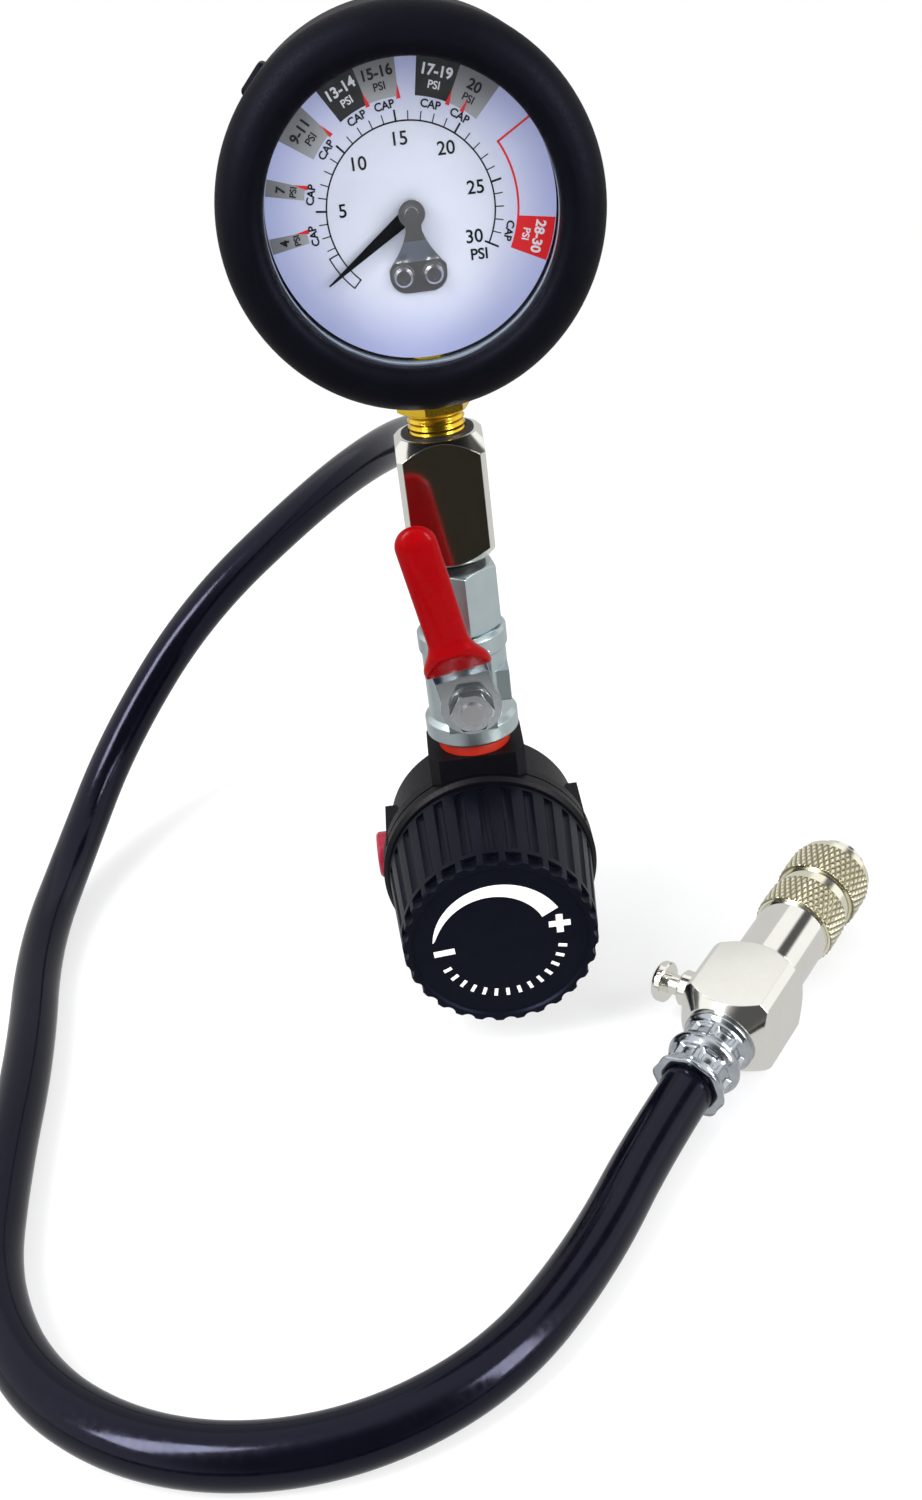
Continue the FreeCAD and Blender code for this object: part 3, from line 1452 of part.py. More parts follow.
def locking_balls():
    balls = []
    for i in range(locking_balls_count):
        turn = math.radians(360.0 * i / locking_balls_count)
        spot = V(locking_ball_reach * math.cos(turn), locking_ball_reach * math.sin(turn), ball_plane)
        balls.append(Part.makeSphere(locking_ball_radius, spot))
    return on_coupler(Part.makeCompound(balls))


def release_seat():
    """The button's guide, screwed into the side of the block."""
    half = coupler_block_width / 2
    top = half + release_seat_length
    neck = release_neck_radius + running_clearance
    stem = release_stem_radius + running_clearance
    return on_coupler(to_left(turned([
        (stem, half - release_thread_length), (release_thread_radius, half - release_thread_length),
        (release_thread_radius, half), (release_seat_radius, half), (release_seat_radius, top - 0.5),
        (release_seat_radius - 0.5, top), (neck, top), (neck, top - release_lid),
        (release_cavity_radius, top - release_lid), (release_cavity_radius, half), (stem, half)])))


def release_button():
    half = coupler_block_width / 2
    top = half + release_seat_length
    neck_low = top - release_lid - 0.1
    head_low = top + release_neck_show
    head_top = head_low + release_head_height
    pad_top = half - release_thread_length - running_clearance
    r = release_head_radius
    return on_coupler(to_left(turned([
        (0, pad_top - release_pad_height), (release_pad_radius, pad_top - release_pad_height),
        (release_pad_radius, pad_top), (release_stem_radius, pad_top), (release_stem_radius, neck_low),
        (release_neck_radius, neck_low), (release_neck_radius, head_low), (r - 0.4, head_low),
        (r, head_low + 0.4), (r, head_top - 1.2), (r - 0.6, head_top - 0.3, r - 2, head_top),
        (0, head_top)])))


def coupler_parts():
    half = coupler_block_width / 2
    neck_low = half + release_seat_length - release_lid - 0.1
    ring_rear = land_front + 2 * running_clearance
    return {
        "coupler_block": coupler_block(), "coupler_barrel": coupler_barrel(),
        "coupler_sleeve": coupler_sleeve(), "locking_balls": locking_balls(),
        "sleeve_spring": on_coupler(coil(sleeve_spring_radius, sleeve_spring_wire, sleeve_spring_turns,
                                         barrel_shoulder, sleeve_shoulder)),
        "socket_seal": on_coupler(torus_at(socket_radius, seal_ring_radius)),
        "retaining_ring": on_coupler(tube(retaining_ring_radius, retaining_ring_inner, ring_rear,
                                          ring_rear + retaining_ring_thickness)),
        "release_seat": release_seat(), "release_button": release_button(),
        "button_spring": on_coupler(to_left(coil(button_spring_radius, button_spring_wire,
                                                 button_spring_turns, half, neck_low))),
    }


for group in (gauge_parts, tee_parts, valve_parts, regulator_parts, hose_parts, coupler_parts):
    for name, shape in group().items():
        if not shape.isValid():
            print("invalid shape", name)
        shape.exportStep("parts/%s.step" % name)
        print("%-22s solids %d volume %.1f" % (name, len(shape.Solids), shape.Volume))
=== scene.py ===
# %% [markdown]
# # Radiator pressure tester
# This script dresses a finished CAD model with finishes and fine detail. The model arrives as a
# set of named nodes in one shared frame, in metres: +Z runs up the column of fittings, the dial
# and the knob face -Y, and the tester stands on its bottom port at z = 0. Nothing is fitted or
# scaled here: a piece is built where the CAD says, in the same numbers.

# %% Load the model
import bpy
import bmesh
import json
import math
from mathutils import Matrix, Quaternion, Vector


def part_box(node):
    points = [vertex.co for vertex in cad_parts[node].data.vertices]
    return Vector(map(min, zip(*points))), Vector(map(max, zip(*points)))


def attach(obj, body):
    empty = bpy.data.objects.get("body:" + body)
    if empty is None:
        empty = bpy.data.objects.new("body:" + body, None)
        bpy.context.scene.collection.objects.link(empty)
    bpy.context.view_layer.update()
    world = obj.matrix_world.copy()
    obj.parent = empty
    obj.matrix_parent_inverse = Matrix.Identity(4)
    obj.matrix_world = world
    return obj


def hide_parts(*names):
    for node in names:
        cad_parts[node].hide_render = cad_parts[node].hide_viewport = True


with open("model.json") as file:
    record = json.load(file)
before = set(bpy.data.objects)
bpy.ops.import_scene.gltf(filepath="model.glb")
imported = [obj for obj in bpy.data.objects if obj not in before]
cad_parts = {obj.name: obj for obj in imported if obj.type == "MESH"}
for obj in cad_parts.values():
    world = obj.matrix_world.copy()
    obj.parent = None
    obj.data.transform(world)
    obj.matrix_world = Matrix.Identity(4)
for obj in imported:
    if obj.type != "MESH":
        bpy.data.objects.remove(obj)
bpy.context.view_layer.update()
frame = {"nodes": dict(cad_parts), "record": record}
nodes = frame["nodes"]

# %% [markdown]
# ## Camera
# A tester with its hose spread in front of it is seen best from a little above. The camera stands
# in front of the dial, pitched down by 29 degrees, and is rolled by 7 degrees, so the column
# leans to the left in the picture. A quaternion for the pitch times one for the roll keeps the
# two apart, where three Euler angles would mix them. With the sensor on AUTO, its 36 mm lie along
# the long side of the picture, so a 36 mm lens sees as far as that side is long.

# %% Make the camera
looks_down, leans_left = 28.9, 7.2
camera_data = bpy.data.cameras.new("camera")
camera_data.lens = 36.0
camera_data.sensor_width = 36.0
camera_data.clip_start = 0.01
camera = bpy.data.objects.new("camera", camera_data)
bpy.context.scene.collection.objects.link(camera)
pitch = Quaternion((1, 0, 0), math.radians(90 - looks_down))
roll = Quaternion((0, 0, 1), math.radians(-leans_left))
camera.rotation_mode = "QUATERNION"
camera.rotation_quaternion = pitch @ roll
camera.location = (-0.0039, -0.346, 0.2561)
bpy.context.scene.camera = camera
bpy.context.scene.view_settings.view_transform = "Standard"
print("camera at", [round(v, 3) for v in camera.location])

# %% [markdown]
# ## The hose
# On the real tester this is reinforced black rubber air hose, 12.7 mm across and about 0.66 m
# long. It is stiff, so it leaves the back of the tee level, sweeps out and down to the floor in
# one long arc, and comes round the front to the quick coupler. A curve with a round bevel is the
# right tool: its control points are the places that the hose passes, and a NURBS spline of
# order 3 runs smoothly near them, as a real hose does. Order and endpoint are set once the
# points exist, because a spline with too few points refuses order 3. The bevel is a circle of
# radius 1 that each point's own radius scales, so the curve's box is as big as the hose.

# %% Lay the hose
hose_radius = 0.00635
hose_route = [
    (0.000, 0.0120, 0.1360), (0.000, 0.0495, 0.1360), (-0.014, 0.085, 0.1235), (-0.040, 0.108, 0.102),
    (-0.084, 0.111, 0.068), (-0.114, 0.091, 0.035), (-0.129, 0.060, 0.012), (-0.134, 0.019, 0.00635),
    (-0.127, -0.031, 0.00635), (-0.125, -0.075, 0.00635), (-0.121, -0.110, 0.00635),
    (-0.105, -0.139, 0.00635), (-0.077, -0.157, 0.00635), (-0.043, -0.160, 0.00635),
    (-0.012, -0.147, 0.00635), (0.010, -0.1215, 0.00635), (0.02861, -0.09037, 0.00783),
    (0.04885, -0.06446, 0.01071)]


def make_hose(name, route, radius):
    curve = bpy.data.curves.new(name, "CURVE")
    curve.dimensions = "3D"
    curve.resolution_u = 16
    curve.bevel_depth = 1.0
    curve.bevel_resolution = 10
    curve.use_fill_caps = True
    spline = curve.splines.new("NURBS")
    spline.points.add(len(route) - 1)
    for point, place in zip(spline.points, route):
        point.co = (*place, 1.0)
        point.radius = radius
    spline.order_u = 3
    spline.use_endpoint_u = True
    spline.use_smooth = True
    piece = bpy.data.objects.new(name, curve)
    bpy.context.scene.collection.objects.link(piece)
    return piece


hose = make_hose("air_hose", hose_route, hose_radius)
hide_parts("hose")
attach(hose, "tester")
print("hose through", len(hose_route), "points")

# %% [markdown]
# ## Colours and nodes
# A colour is written as a hex value, as a paint chart gives it. Such values are coded for a screen
# and a shader counts in linear light, so one function turns them. Another adds a node with its
# settings and links, so that a material reads as a list of what feeds what, and a third starts an
# empty material. A Mix node keeps its sockets for numbers, vectors and colours side by side, so its
# colour sockets go by number.

# %% Helpers for every material
mix_first, mix_second, mix_out = 6, 7, 2


def linear(hex_colour):
    """An sRGB hex colour as the linear values that a shader takes."""
    parts = [int(hex_colour[i:i + 2], 16) / 255 for i in (1, 3, 5)]
    return (*[p / 12.92 if p <= 0.04045 else ((p + 0.055) / 1.055) ** 2.4 for p in parts], 1.0)


def add(tree, kind, inputs=None, **settings):
    """Adds one node. inputs maps a socket's name or number to a value or to an output that feeds it."""
    node = tree.nodes.new(kind)
    for name, value in settings.items():
        setattr(node, name, value)
    for key, value in (inputs or {}).items():
        if isinstance(value, bpy.types.NodeSocket):
            tree.links.new(value, node.inputs[key])
        else:
            node.inputs[key].default_value = value
    return node


def new_material(name):
    material = bpy.data.materials.new(name)
    material.use_nodes = True
    material.node_tree.nodes.clear()
    return material, material.node_tree


# %% [markdown]
# ## The floor
# The floor is a plain pale sheet that reaches far behind the object, so that it fills the view.
# A white studio sweep comes out as pure white, because it is lit a little brighter than the
# object. Here the floor's own material does that: part of what the camera sees is white light of
# strength 1, and the rest is a matt surface that still takes the shadows. The white share grows
# with the distance, because shadows fall only near the object. Mirrors and matt surfaces see the
# floor in a light grey, so that side faces and undersides do not melt into the background.

# %% Make the floor
def make_floor():
    # A strip of paper: flat under the object, then one wide bend up into a wall far behind it.
    reach, wall, bend, half_width = 1.6, 3.0, 1.2, 3.0
    bend_steps, just_below = 12, 0.0002
    curve = [(-reach, 0.0), (reach, 0.0)]
    for step in range(1, bend_steps + 1):
        turn = math.radians(90 * step / bend_steps)
        curve.append((reach + bend * math.sin(turn), bend * (1 - math.cos(turn))))
    curve.append((reach + bend, wall))
    paper = bmesh.new()
    edges = [[paper.verts.new((side * half_width, y, z)) for y, z in curve] for side in (-1, 1)]
    for left, right, next_right, next_left in zip(edges[0], edges[1], edges[1][1:], edges[0][1:]):
        paper.faces.new((left, right, next_right, next_left))
    mesh = bpy.data.meshes.new("studio_floor")
    paper.to_mesh(mesh)
    paper.free()
    mesh.shade_smooth()
    floor = bpy.data.objects.new("studio_floor", mesh)
    bpy.context.scene.collection.objects.link(floor)
    floor.location.z = -just_below
    material, tree = new_material("white_paper_sweep")
    rays = add(tree, "ShaderNodeLightPath")
    seen = add(tree, "ShaderNodeMath", {0: rays.outputs["Is Camera Ray"],
                                        1: rays.outputs["Is Transmission Ray"]}, operation="MAXIMUM")
    place = add(tree, "ShaderNodeTexCoord").outputs["Object"]
    away = add(tree, "ShaderNodeVectorMath", {0: place}, operation="LENGTH")
    white = add(tree, "ShaderNodeMapRange", {
        "Value": away.outputs["Value"], "From Min": 0.22, "From Max": 0.7, "To Min": 0.62, "To Max": 1.0},
        interpolation_type="SMOOTHSTEP")
    share = add(tree, "ShaderNodeMath", {0: seen.outputs[0], 1: white.outputs[0]}, operation="MULTIPLY")
    share = add(tree, "ShaderNodeMath", {0: share.outputs[0], 1: rays.outputs["Is Glossy Ray"]},
                operation="MAXIMUM")
    strength = add(tree, "ShaderNodeMapRange", {"Value": rays.outputs["Is Glossy Ray"], "To Min": 1.0,
                                                "To Max": 0.62})
    bounce = add(tree, "ShaderNodeMix", {0: rays.outputs["Is Diffuse Ray"], mix_first: linear("#f4f5f7"),
                                         mix_second: linear("#c2c2c6")}, data_type="RGBA")
    paper = add(tree, "ShaderNodeBsdfDiffuse", {"Color": bounce.outputs[mix_out]})
    glow = add(tree, "ShaderNodeEmission", {"Color": (1, 1, 1, 1), "Strength": strength.outputs[0]})
    mix = add(tree, "ShaderNodeMixShader", {0: share.outputs[0], 1: paper.outputs[0], 2: glow.outputs[0]})
    add(tree, "ShaderNodeOutputMaterial", {"Surface": mix.outputs[0]})
    mesh.materials.append(material)
    return floor


floor = make_floor()
print("floor", [round(v, 2) for v in floor.dimensions])

# %% [markdown]
# ## The light
# The world is the soft light: white all round, with one large softbox on the left and a weaker one
# on the right. Where someone would stand to look, mirrors see a dark room, and a dark gap between
# two softboxes on the right. A black card that only mirrors see lies on the floor in front. They
# put the dark streaks into polished metal, and they take no light away from the paint.

# %% Light the set
def make_world():
    world = bpy.data.worlds.new("soft_studio")
    world.use_nodes = True
    bpy.context.scene.world = world
    tree = world.node_tree
    tree.nodes.clear()
    way = add(tree, "ShaderNodeTexCoord").outputs["Generated"]

    def dark_patch(toward, edge, core):
        # edge and core are cosines of the angle from the middle, where the patch starts and is full.
        aim = add(tree, "ShaderNodeVectorMath", {0: way, 1: toward}, operation="DOT_PRODUCT")
        return add(tree, "ShaderNodeMapRange", {
            "Value": aim.outputs["Value"], "From Min": edge, "From Max": core, "To Min": 0.0, "To Max": 0.92},
            interpolation_type="SMOOTHSTEP")

    room = dark_patch((0.12, -0.86, 0.49), 0.55, 0.93)
    gap = dark_patch((0.717, 0.179, 0.673), 0.965, 0.99)
    dark = add(tree, "ShaderNodeMath", {0: room.outputs[0], 1: gap.outputs[0]}, operation="MAXIMUM")
    rays = add(tree, "ShaderNodeLightPath")
    mirrored = add(tree, "ShaderNodeMath", {0: dark.outputs[0], 1: rays.outputs["Is Glossy Ray"]},
                   operation="MULTIPLY")
    shade = add(tree, "ShaderNodeMath", {0: 1.0, 1: mirrored.outputs[0]}, operation="SUBTRACT")
    back = add(tree, "ShaderNodeBackground", {"Color": shade.outputs[0], "Strength": 1.0})
    add(tree, "ShaderNodeOutputWorld", {"Surface": back.outputs[0]})


def make_lamp(name, place, aim, size, watts):
    lamp = bpy.data.lights.new(name, "AREA")
    lamp.shape = "RECTANGLE"
    lamp.size, lamp.size_y = size
    lamp.energy = watts
    holder = bpy.data.objects.new(name, lamp)
    bpy.context.scene.collection.objects.link(holder)
    holder.location = place
    holder.rotation_mode = "QUATERNION"
    holder.rotation_quaternion = (Vector(aim) - Vector(place)).to_track_quat("-Z", "Y")
    return holder


def make_flag():
    # The card lies a millimetre above the floor, from near the object to far in front of it.
    side, far, near, height = 0.5, -1.55, -0.2, 0.001
    corners = [(-side, far, height), (side, far, height), (side, near, height), (-side, near, height)]
    card = bmesh.new()
    card.faces.new([card.verts.new(corner) for corner in corners])
    mesh = bpy.data.meshes.new("studio_flag")
    card.to_mesh(mesh)
    card.free()
    flag = bpy.data.objects.new("studio_flag", mesh)
    bpy.context.scene.collection.objects.link(flag)
    material, tree = new_material("black_card_for_mirrors")
    mirrored = add(tree, "ShaderNodeLightPath").outputs["Is Glossy Ray"]
    clear = add(tree, "ShaderNodeBsdfTransparent")
    black = add(tree, "ShaderNodeBsdfDiffuse", {"Color": linear("#1a1813")})
    mix = add(tree, "ShaderNodeMixShader", {0: mirrored, 1: clear.outputs[0], 2: black.outputs[0]})
    add(tree, "ShaderNodeOutputMaterial", {"Surface": mix.outputs[0]})
    mesh.materials.append(material)
    return flag


make_world()
flag = make_flag()
lit_spot = (0, 0, 0.1)
key_lamp = make_lamp("key_softbox", (-0.62, -0.42, 0.85), lit_spot, (0.30, 0.75), 12.0)
fill_lamp = make_lamp("fill_softbox", (0.70, -0.50, 0.45), lit_spot, (0.25, 0.6), 6.5)
print("lamps of", key_lamp.data.energy, "and", fill_lamp.data.energy, "watts")
print("card", [round(v, 2) for v in flag.dimensions])

# %% [markdown]
# ## Finishes
# Every finish is a Principled surface whose colour, roughness and relief come from noise in
# object space. A node's object sits at the origin of the frame, so object space is the frame in
# metres, and a noise whose scale is 1 / (size in metres) has grains of that real size. One
# function makes all of them, because rubber, plastic, plating and brass differ in numbers and
# not in kind. A Bevel node rounds every hard edge for the light only: moulded and turned parts
# never have a knife edge, and the bright line along an edge is what makes them look solid.

# %% One function for every finish
def finish(name, colour, second, roughness, metallic=0.0, mottle_mm=6.0, grain_mm=0.4, relief_mm=0.02,
           edge_mm=0.3, uneven=0.08, streak=(1, 1, 1), groove_shade_colour=None, **sockets):
    """colour and second are mixed in soft patches of mottle_mm; grain_mm is the relief's grain.

    relief_mm is how deep the grain is, edge_mm the radius of a hard edge, and uneven how far the
    roughness strays. streak stretches the grain along an axis where it is under 1. The groove
    colour is painted shade, laid where the mesh's own attribute "groove" rises to 1.
    """
    material, tree = new_material(name)
    place = add(tree, "ShaderNodeTexCoord").outputs["Object"]
    patches = add(tree, "ShaderNodeTexNoise", {"Vector": place, "Scale": 1000 / mottle_mm, "Detail": 3.0})
    drawn = add(tree, "ShaderNodeVectorMath", {0: place, 1: streak}, operation="MULTIPLY")
    grain = add(tree, "ShaderNodeTexNoise", {"Vector": drawn.outputs[0], "Scale": 1000 / grain_mm,
                                             "Detail": 2.0})
    tint = add(tree, "ShaderNodeMix", {0: patches.outputs["Fac"], mix_first: linear(colour),
                                       mix_second: linear(second)}, data_type="RGBA")
    # Painted shade: the groove colour darkens the knurl where it is pressed deepest.
    if groove_shade_colour:
        pressed = add(tree, "ShaderNodeAttribute", attribute_name="groove").outputs["Fac"]
        painted_groove_shade = add(tree, "ShaderNodeMath", {0: pressed, 1: 1.6}, operation="POWER")
        tint = add(tree, "ShaderNodeMix", {0: painted_groove_shade.outputs[0], mix_first: tint.outputs[mix_out],
                                           mix_second: linear(groove_shade_colour)}, data_type="RGBA")
    rough = add(tree, "ShaderNodeMapRange", {
        "Value": grain.outputs["Fac"], "From Min": 0.3, "From Max": 0.7,
        "To Min": max(roughness - uneven, 0.02), "To Max": roughness + uneven})
    edge = add(tree, "ShaderNodeBevel", {"Radius": edge_mm / 1000}, samples=4)
    relief = add(tree, "ShaderNodeBump", {"Height": grain.outputs["Fac"], "Distance": relief_mm / 1000,
                                          "Strength": 0.6, "Normal": edge.outputs[0]})
    skin = add(tree, "ShaderNodeBsdfPrincipled", {
        "Base Color": tint.outputs[mix_out], "Roughness": rough.outputs[0], "Metallic": metallic,
        "Normal": relief.outputs[0], **sockets})
    add(tree, "ShaderNodeOutputMaterial", {"Surface": skin.outputs[0]})
    return material


# %% [markdown]
# ### Rubber, vinyl and plastics
# The boot is matt moulded rubber, the hose is the same black with a skin polished by its mould,
# and the lever's grip is a dip-coated vinyl, which sets with a wet gloss. The regulator is a
# glass-filled nylon: dark grey, with a fine orange-peel from the tool. The knob is a smoother
# black plastic.

# %% Mix the soft finishes
moulded_rubber = finish("moulded_rubber", "#050509", "#0a0a10", 0.5, grain_mm=0.5, relief_mm=0.03,
                        edge_mm=0.5, **{"Specular IOR Level": 0.08, "Specular Tint": linear("#d0d2ff")})
polished_hose_rubber = finish("polished_hose_rubber", "#04040a", "#080912", 0.15, mottle_mm=14, grain_mm=1.6,
                              relief_mm=0.02, uneven=0.05, edge_mm=0.3,
                              **{"Specular IOR Level": 0.3, "Specular Tint": linear("#d6d8ff")})
seal_rubber = finish("seal_rubber", "#0e0e10", "#16161a", 0.5)
orange_seal_rubber = finish("orange_seal_rubber", "#a41d08", "#b62a0f", 0.38, mottle_mm=3)
dipped_vinyl = finish("dipped_vinyl", "#7f0003", "#8e0107", 0.3, mottle_mm=9, grain_mm=2.5, relief_mm=0.02,
                      uneven=0.05,
                      **{"Specular IOR Level": 0.05, "Coat Weight": 0.07, "Coat Roughness": 0.05})
glass_filled_nylon = finish("glass_filled_nylon", "#08080c", "#0e0e13", 0.42, grain_mm=0.35, relief_mm=0.02,
                            **{"Specular IOR Level": 0.12})
knob_plastic = finish("knob_plastic", "#05060b", "#0a0c13", 0.38, grain_mm=0.45, relief_mm=0.012,
                      **{"Specular IOR Level": 0.15, "Specular Tint": linear("#b8c4ff")})
red_plug_plastic = finish("red_plug_plastic", "#8e0d28", "#a31a38", 0.3)
seat_fluoropolymer = finish("seat_fluoropolymer", "#e8e8e2", "#dcdcd4", 0.35, grain_mm=0.8)
print("soft finishes:", moulded_rubber.name, polished_hose_rubber.name, dipped_vinyl.name)

# %% [markdown]
# ### Metals
# A metal has no colour of its own under the skin: what the eye sees is its tinted mirror. Bright
# nickel is a warm grey, almost a mirror, with hairline scratches. On the knurl it is a little
# yellower, with painted shade in the grooves, and its pyramids keep edges of 0.03 mm. Satin chrome
# on the valve was blasted before plating, so it is bluer and soft. Brass stays a strong yellow
# inside its threads. The small steel parts are zinc plated and cleared blue.

# %% Mix the metals
bright_nickel = finish("bright_nickel", "#f1efe6", "#fbfaf5", 0.11, metallic=1.0, mottle_mm=11, grain_mm=0.5,
                       relief_mm=0.002, uneven=0.02, edge_mm=0.3, streak=(1, 1, 0.12))
# The dark groove colour of the knurled nickel is painted shade in the knurl's grooves.
knurled_nickel = finish("knurled_nickel", "#f6f2d6", "#fdfbec", 0.16, metallic=1.0, mottle_mm=7, grain_mm=0.4,
                        relief_mm=0.002, uneven=0.04, edge_mm=0.03, groove_shade_colour="#6b5d1c")
satin_chrome = finish("satin_chrome", "#b5c4c8", "#cdd8da", 0.33, metallic=1.0, mottle_mm=7, grain_mm=0.3,
                      relief_mm=0.003, uneven=0.05, edge_mm=0.4)
zinc_plate = finish("zinc_plate", "#cbd2d8", "#e1e5e8", 0.2, metallic=1.0, mottle_mm=3, grain_mm=0.8,
                    relief_mm=0.002, uneven=0.02, edge_mm=0.15)
bright_steel = finish("bright_steel", "#e2e1e3", "#f0eff1", 0.3, metallic=1.0, mottle_mm=4, grain_mm=0.8,
                      relief_mm=0.001, uneven=0.015, edge_mm=0.08)
rolled_ferrule_steel = finish("rolled_ferrule_steel", "#9ba3ad", "#d3d8dc", 0.15, metallic=1.0, mottle_mm=4,
                              grain_mm=0.8, relief_mm=0.005, uneven=0.06)
turned_brass = finish("turned_brass", "#f0c02a", "#fad650", 0.22, metallic=1.0, mottle_mm=5, grain_mm=0.6,
                      relief_mm=0.001, uneven=0.02)
phosphor_bronze = finish("phosphor_bronze", "#a8713a", "#bd8549", 0.3, metallic=1.0)
spring_wire = finish("spring_wire", "#6f7378", "#8b8f94", 0.3, metallic=1.0, edge_mm=0.05)
enamelled_steel = finish("enamelled_steel", "#a9b5bf", "#bcc6cf", 0.3)
pointer_enamel = finish("pointer_enamel", "#0a0a0e", "#111116", 0.35, edge_mm=0.05)
print("metals:", bright_nickel.name, satin_chrome.name, zinc_plate.name, turned_brass.name)

# %% [markdown]
# ### Lens, dial paint and inks
# The lens is clear acrylic: it lets everything through and mirrors a few percent, more at a
# glancing angle. A Fresnel node gives that law, and an anti-glare skin takes two fifths off it.
# Mixing clear and mirror by it keeps the dial bright, where real glass with bent rays would darken
# it. The dial is a tinplate disc painted white, which reads pale lavender; its colour also holds a
# painted shade that deepens toward the rim, where the deep bezel takes the light away. The inks are
# screen printed: flat, slightly uneven, and about as glossy as the paint; only the grey blocks hold
# the same painted shade toward the rim.

# %% Mix the lens, the dial paint and the inks
def clear_lens():
    polish_mm, mirror_kept = 9, 0.6
    material, tree = new_material("clear_acrylic_lens")
    law = add(tree, "ShaderNodeFresnel", {"IOR": 1.42})
    mirror = add(tree, "ShaderNodeMath", {0: law.outputs[0], 1: mirror_kept}, operation="MULTIPLY")
    place = add(tree, "ShaderNodeTexCoord").outputs["Object"]
    grain = add(tree, "ShaderNodeTexNoise", {"Vector": place, "Scale": 1000 / polish_mm, "Detail": 2.0})
    polish = add(tree, "ShaderNodeMapRange", {"Value": grain.outputs["Fac"], "To Min": 0.02, "To Max": 0.07})
    clear = add(tree, "ShaderNodeBsdfTransparent", {"Color": linear("#fdfeff")})
    gloss = add(tree, "ShaderNodeBsdfGlossy", {"Roughness": polish.outputs[0]})
    mix = add(tree, "ShaderNodeMixShader", {0: mirror.outputs[0], 1: clear.outputs[0], 2: gloss.outputs[0]})
    add(tree, "ShaderNodeOutputMaterial", {"Surface": mix.outputs[0]})
    return material


def rim_shaded(name, centre, inner_mm, outer_mm, inner, outer):
    """A paint with painted shade: its colour runs from inner to outer between two radii around a centre."""
    speck_mm = 3
    material, tree = new_material(name)
    place = add(tree, "ShaderNodeTexCoord").outputs["Object"]
    out = add(tree, "ShaderNodeVectorMath", {0: place, 1: centre}, operation="SUBTRACT")
    flat = add(tree, "ShaderNodeVectorMath", {0: out.outputs[0], 1: (1, 0, 1)}, operation="MULTIPLY")
    radius = add(tree, "ShaderNodeVectorMath", {0: flat.outputs[0]}, operation="LENGTH")
    share = add(tree, "ShaderNodeMapRange", {"Value": radius.outputs["Value"], "From Min": inner_mm / 1000,
                                             "From Max": outer_mm / 1000}, interpolation_type="SMOOTHSTEP")
    grain = add(tree, "ShaderNodeTexNoise", {"Vector": place, "Scale": 1000 / speck_mm, "Detail": 3.0})
    speck = add(tree, "ShaderNodeMapRange", {"Value": grain.outputs["Fac"], "To Min": -0.05, "To Max": 0.05})
    # Painted shade: the colour deepens toward the outer radius, broken up by a fine random speck.
    shade_and_speck = add(tree, "ShaderNodeMath", {0: share.outputs[0], 1: speck.outputs[0]}, operation="ADD",
               use_clamp=True)
    tint = add(tree, "ShaderNodeMix", {0: shade_and_speck.outputs[0], mix_first: linear(inner),
                                       mix_second: linear(outer)}, data_type="RGBA")
    skin = add(tree, "ShaderNodeBsdfPrincipled", {"Base Color": tint.outputs[mix_out], "Roughness": 0.4})
    add(tree, "ShaderNodeOutputMaterial", {"Surface": skin.outputs[0]})
    return material


dial_centre = (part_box("pointer_arbor")[0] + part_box("pointer_arbor")[1]) / 2
dial_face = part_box("dial_plate")[0].y
dial_centre.y = dial_face
lens_acrylic = clear_lens()
# The dial's paint is pale lavender; its deeper colour toward the rim is painted shade from the bezel.
dial_paint_and_shade = rim_shaded("dial_paint_and_shade", dial_centre, 15, 32, "#f1f3ff", "#d0d4fb")
# The grey blocks darken toward the rim with the same painted shade as the dial.
grey_block_ink_and_shade = rim_shaded("grey_block_ink_and_shade", dial_centre, 22, 31, "#b6b6b6", "#888888")
black_ink = finish("black_ink", "#101014", "#1a1a20", 0.35, edge_mm=0.02, relief_mm=0.005)
charcoal_ink = finish("charcoal_ink", "#2c2f2e", "#383b3a", 0.4, edge_mm=0.02, relief_mm=0.005)
red_ink = finish("red_ink", "#f81018", "#ff1c24", 0.38, edge_mm=0.02, relief_mm=0.005)
white_ink = finish("white_ink", "#f4f4f6", "#fbfbfc", 0.4, edge_mm=0.02, relief_mm=0.005)
print("dial face at y =", round(dial_face, 4), "centre z =", round(dial_centre.z, 4))

# %% [markdown]
# ### Every node gets its finish
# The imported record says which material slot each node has, so the finishes are handed out by slot
# and not by name. Only the look is set here: a node's mesh is never touched.

# %% Hand out the finishes
finish_of_slot = {
    "rubber_black": moulded_rubber, "case_steel": enamelled_steel, "glass": lens_acrylic, "dial": dial_paint_and_shade,
    "pointer_black": pointer_enamel, "steel_bright": bright_steel, "brass": turned_brass,
    "bronze": phosphor_bronze, "spring_steel": spring_wire, "nickel": bright_nickel,
    "satin_chrome": satin_chrome, "zinc": zinc_plate, "vinyl_red": dipped_vinyl,
    "seal_orange": orange_seal_rubber, "seal_black": seal_rubber, "ptfe": seat_fluoropolymer,
    "plastic_black": glass_filled_nylon, "knob_black": knob_plastic, "plastic_red": red_plug_plastic,
    "hose_black": polished_hose_rubber, "ferrule_steel": rolled_ferrule_steel}

for part in frame["record"]["subparts"]:
    for holder in nodes[part["node"]].material_slots:
        holder.material = finish_of_slot[part["material_slot"]]
hose.data.materials.append(polished_hose_rubber)

# %% [markdown]
# ### Every piece is made the same way
# Each added piece is built point by point as a bmesh, and one function turns it into an object:
# normals outward, one finish, and the body that carries it. Round pieces are stacks of rings, and
# a second function skins the faces between one ring and the next.

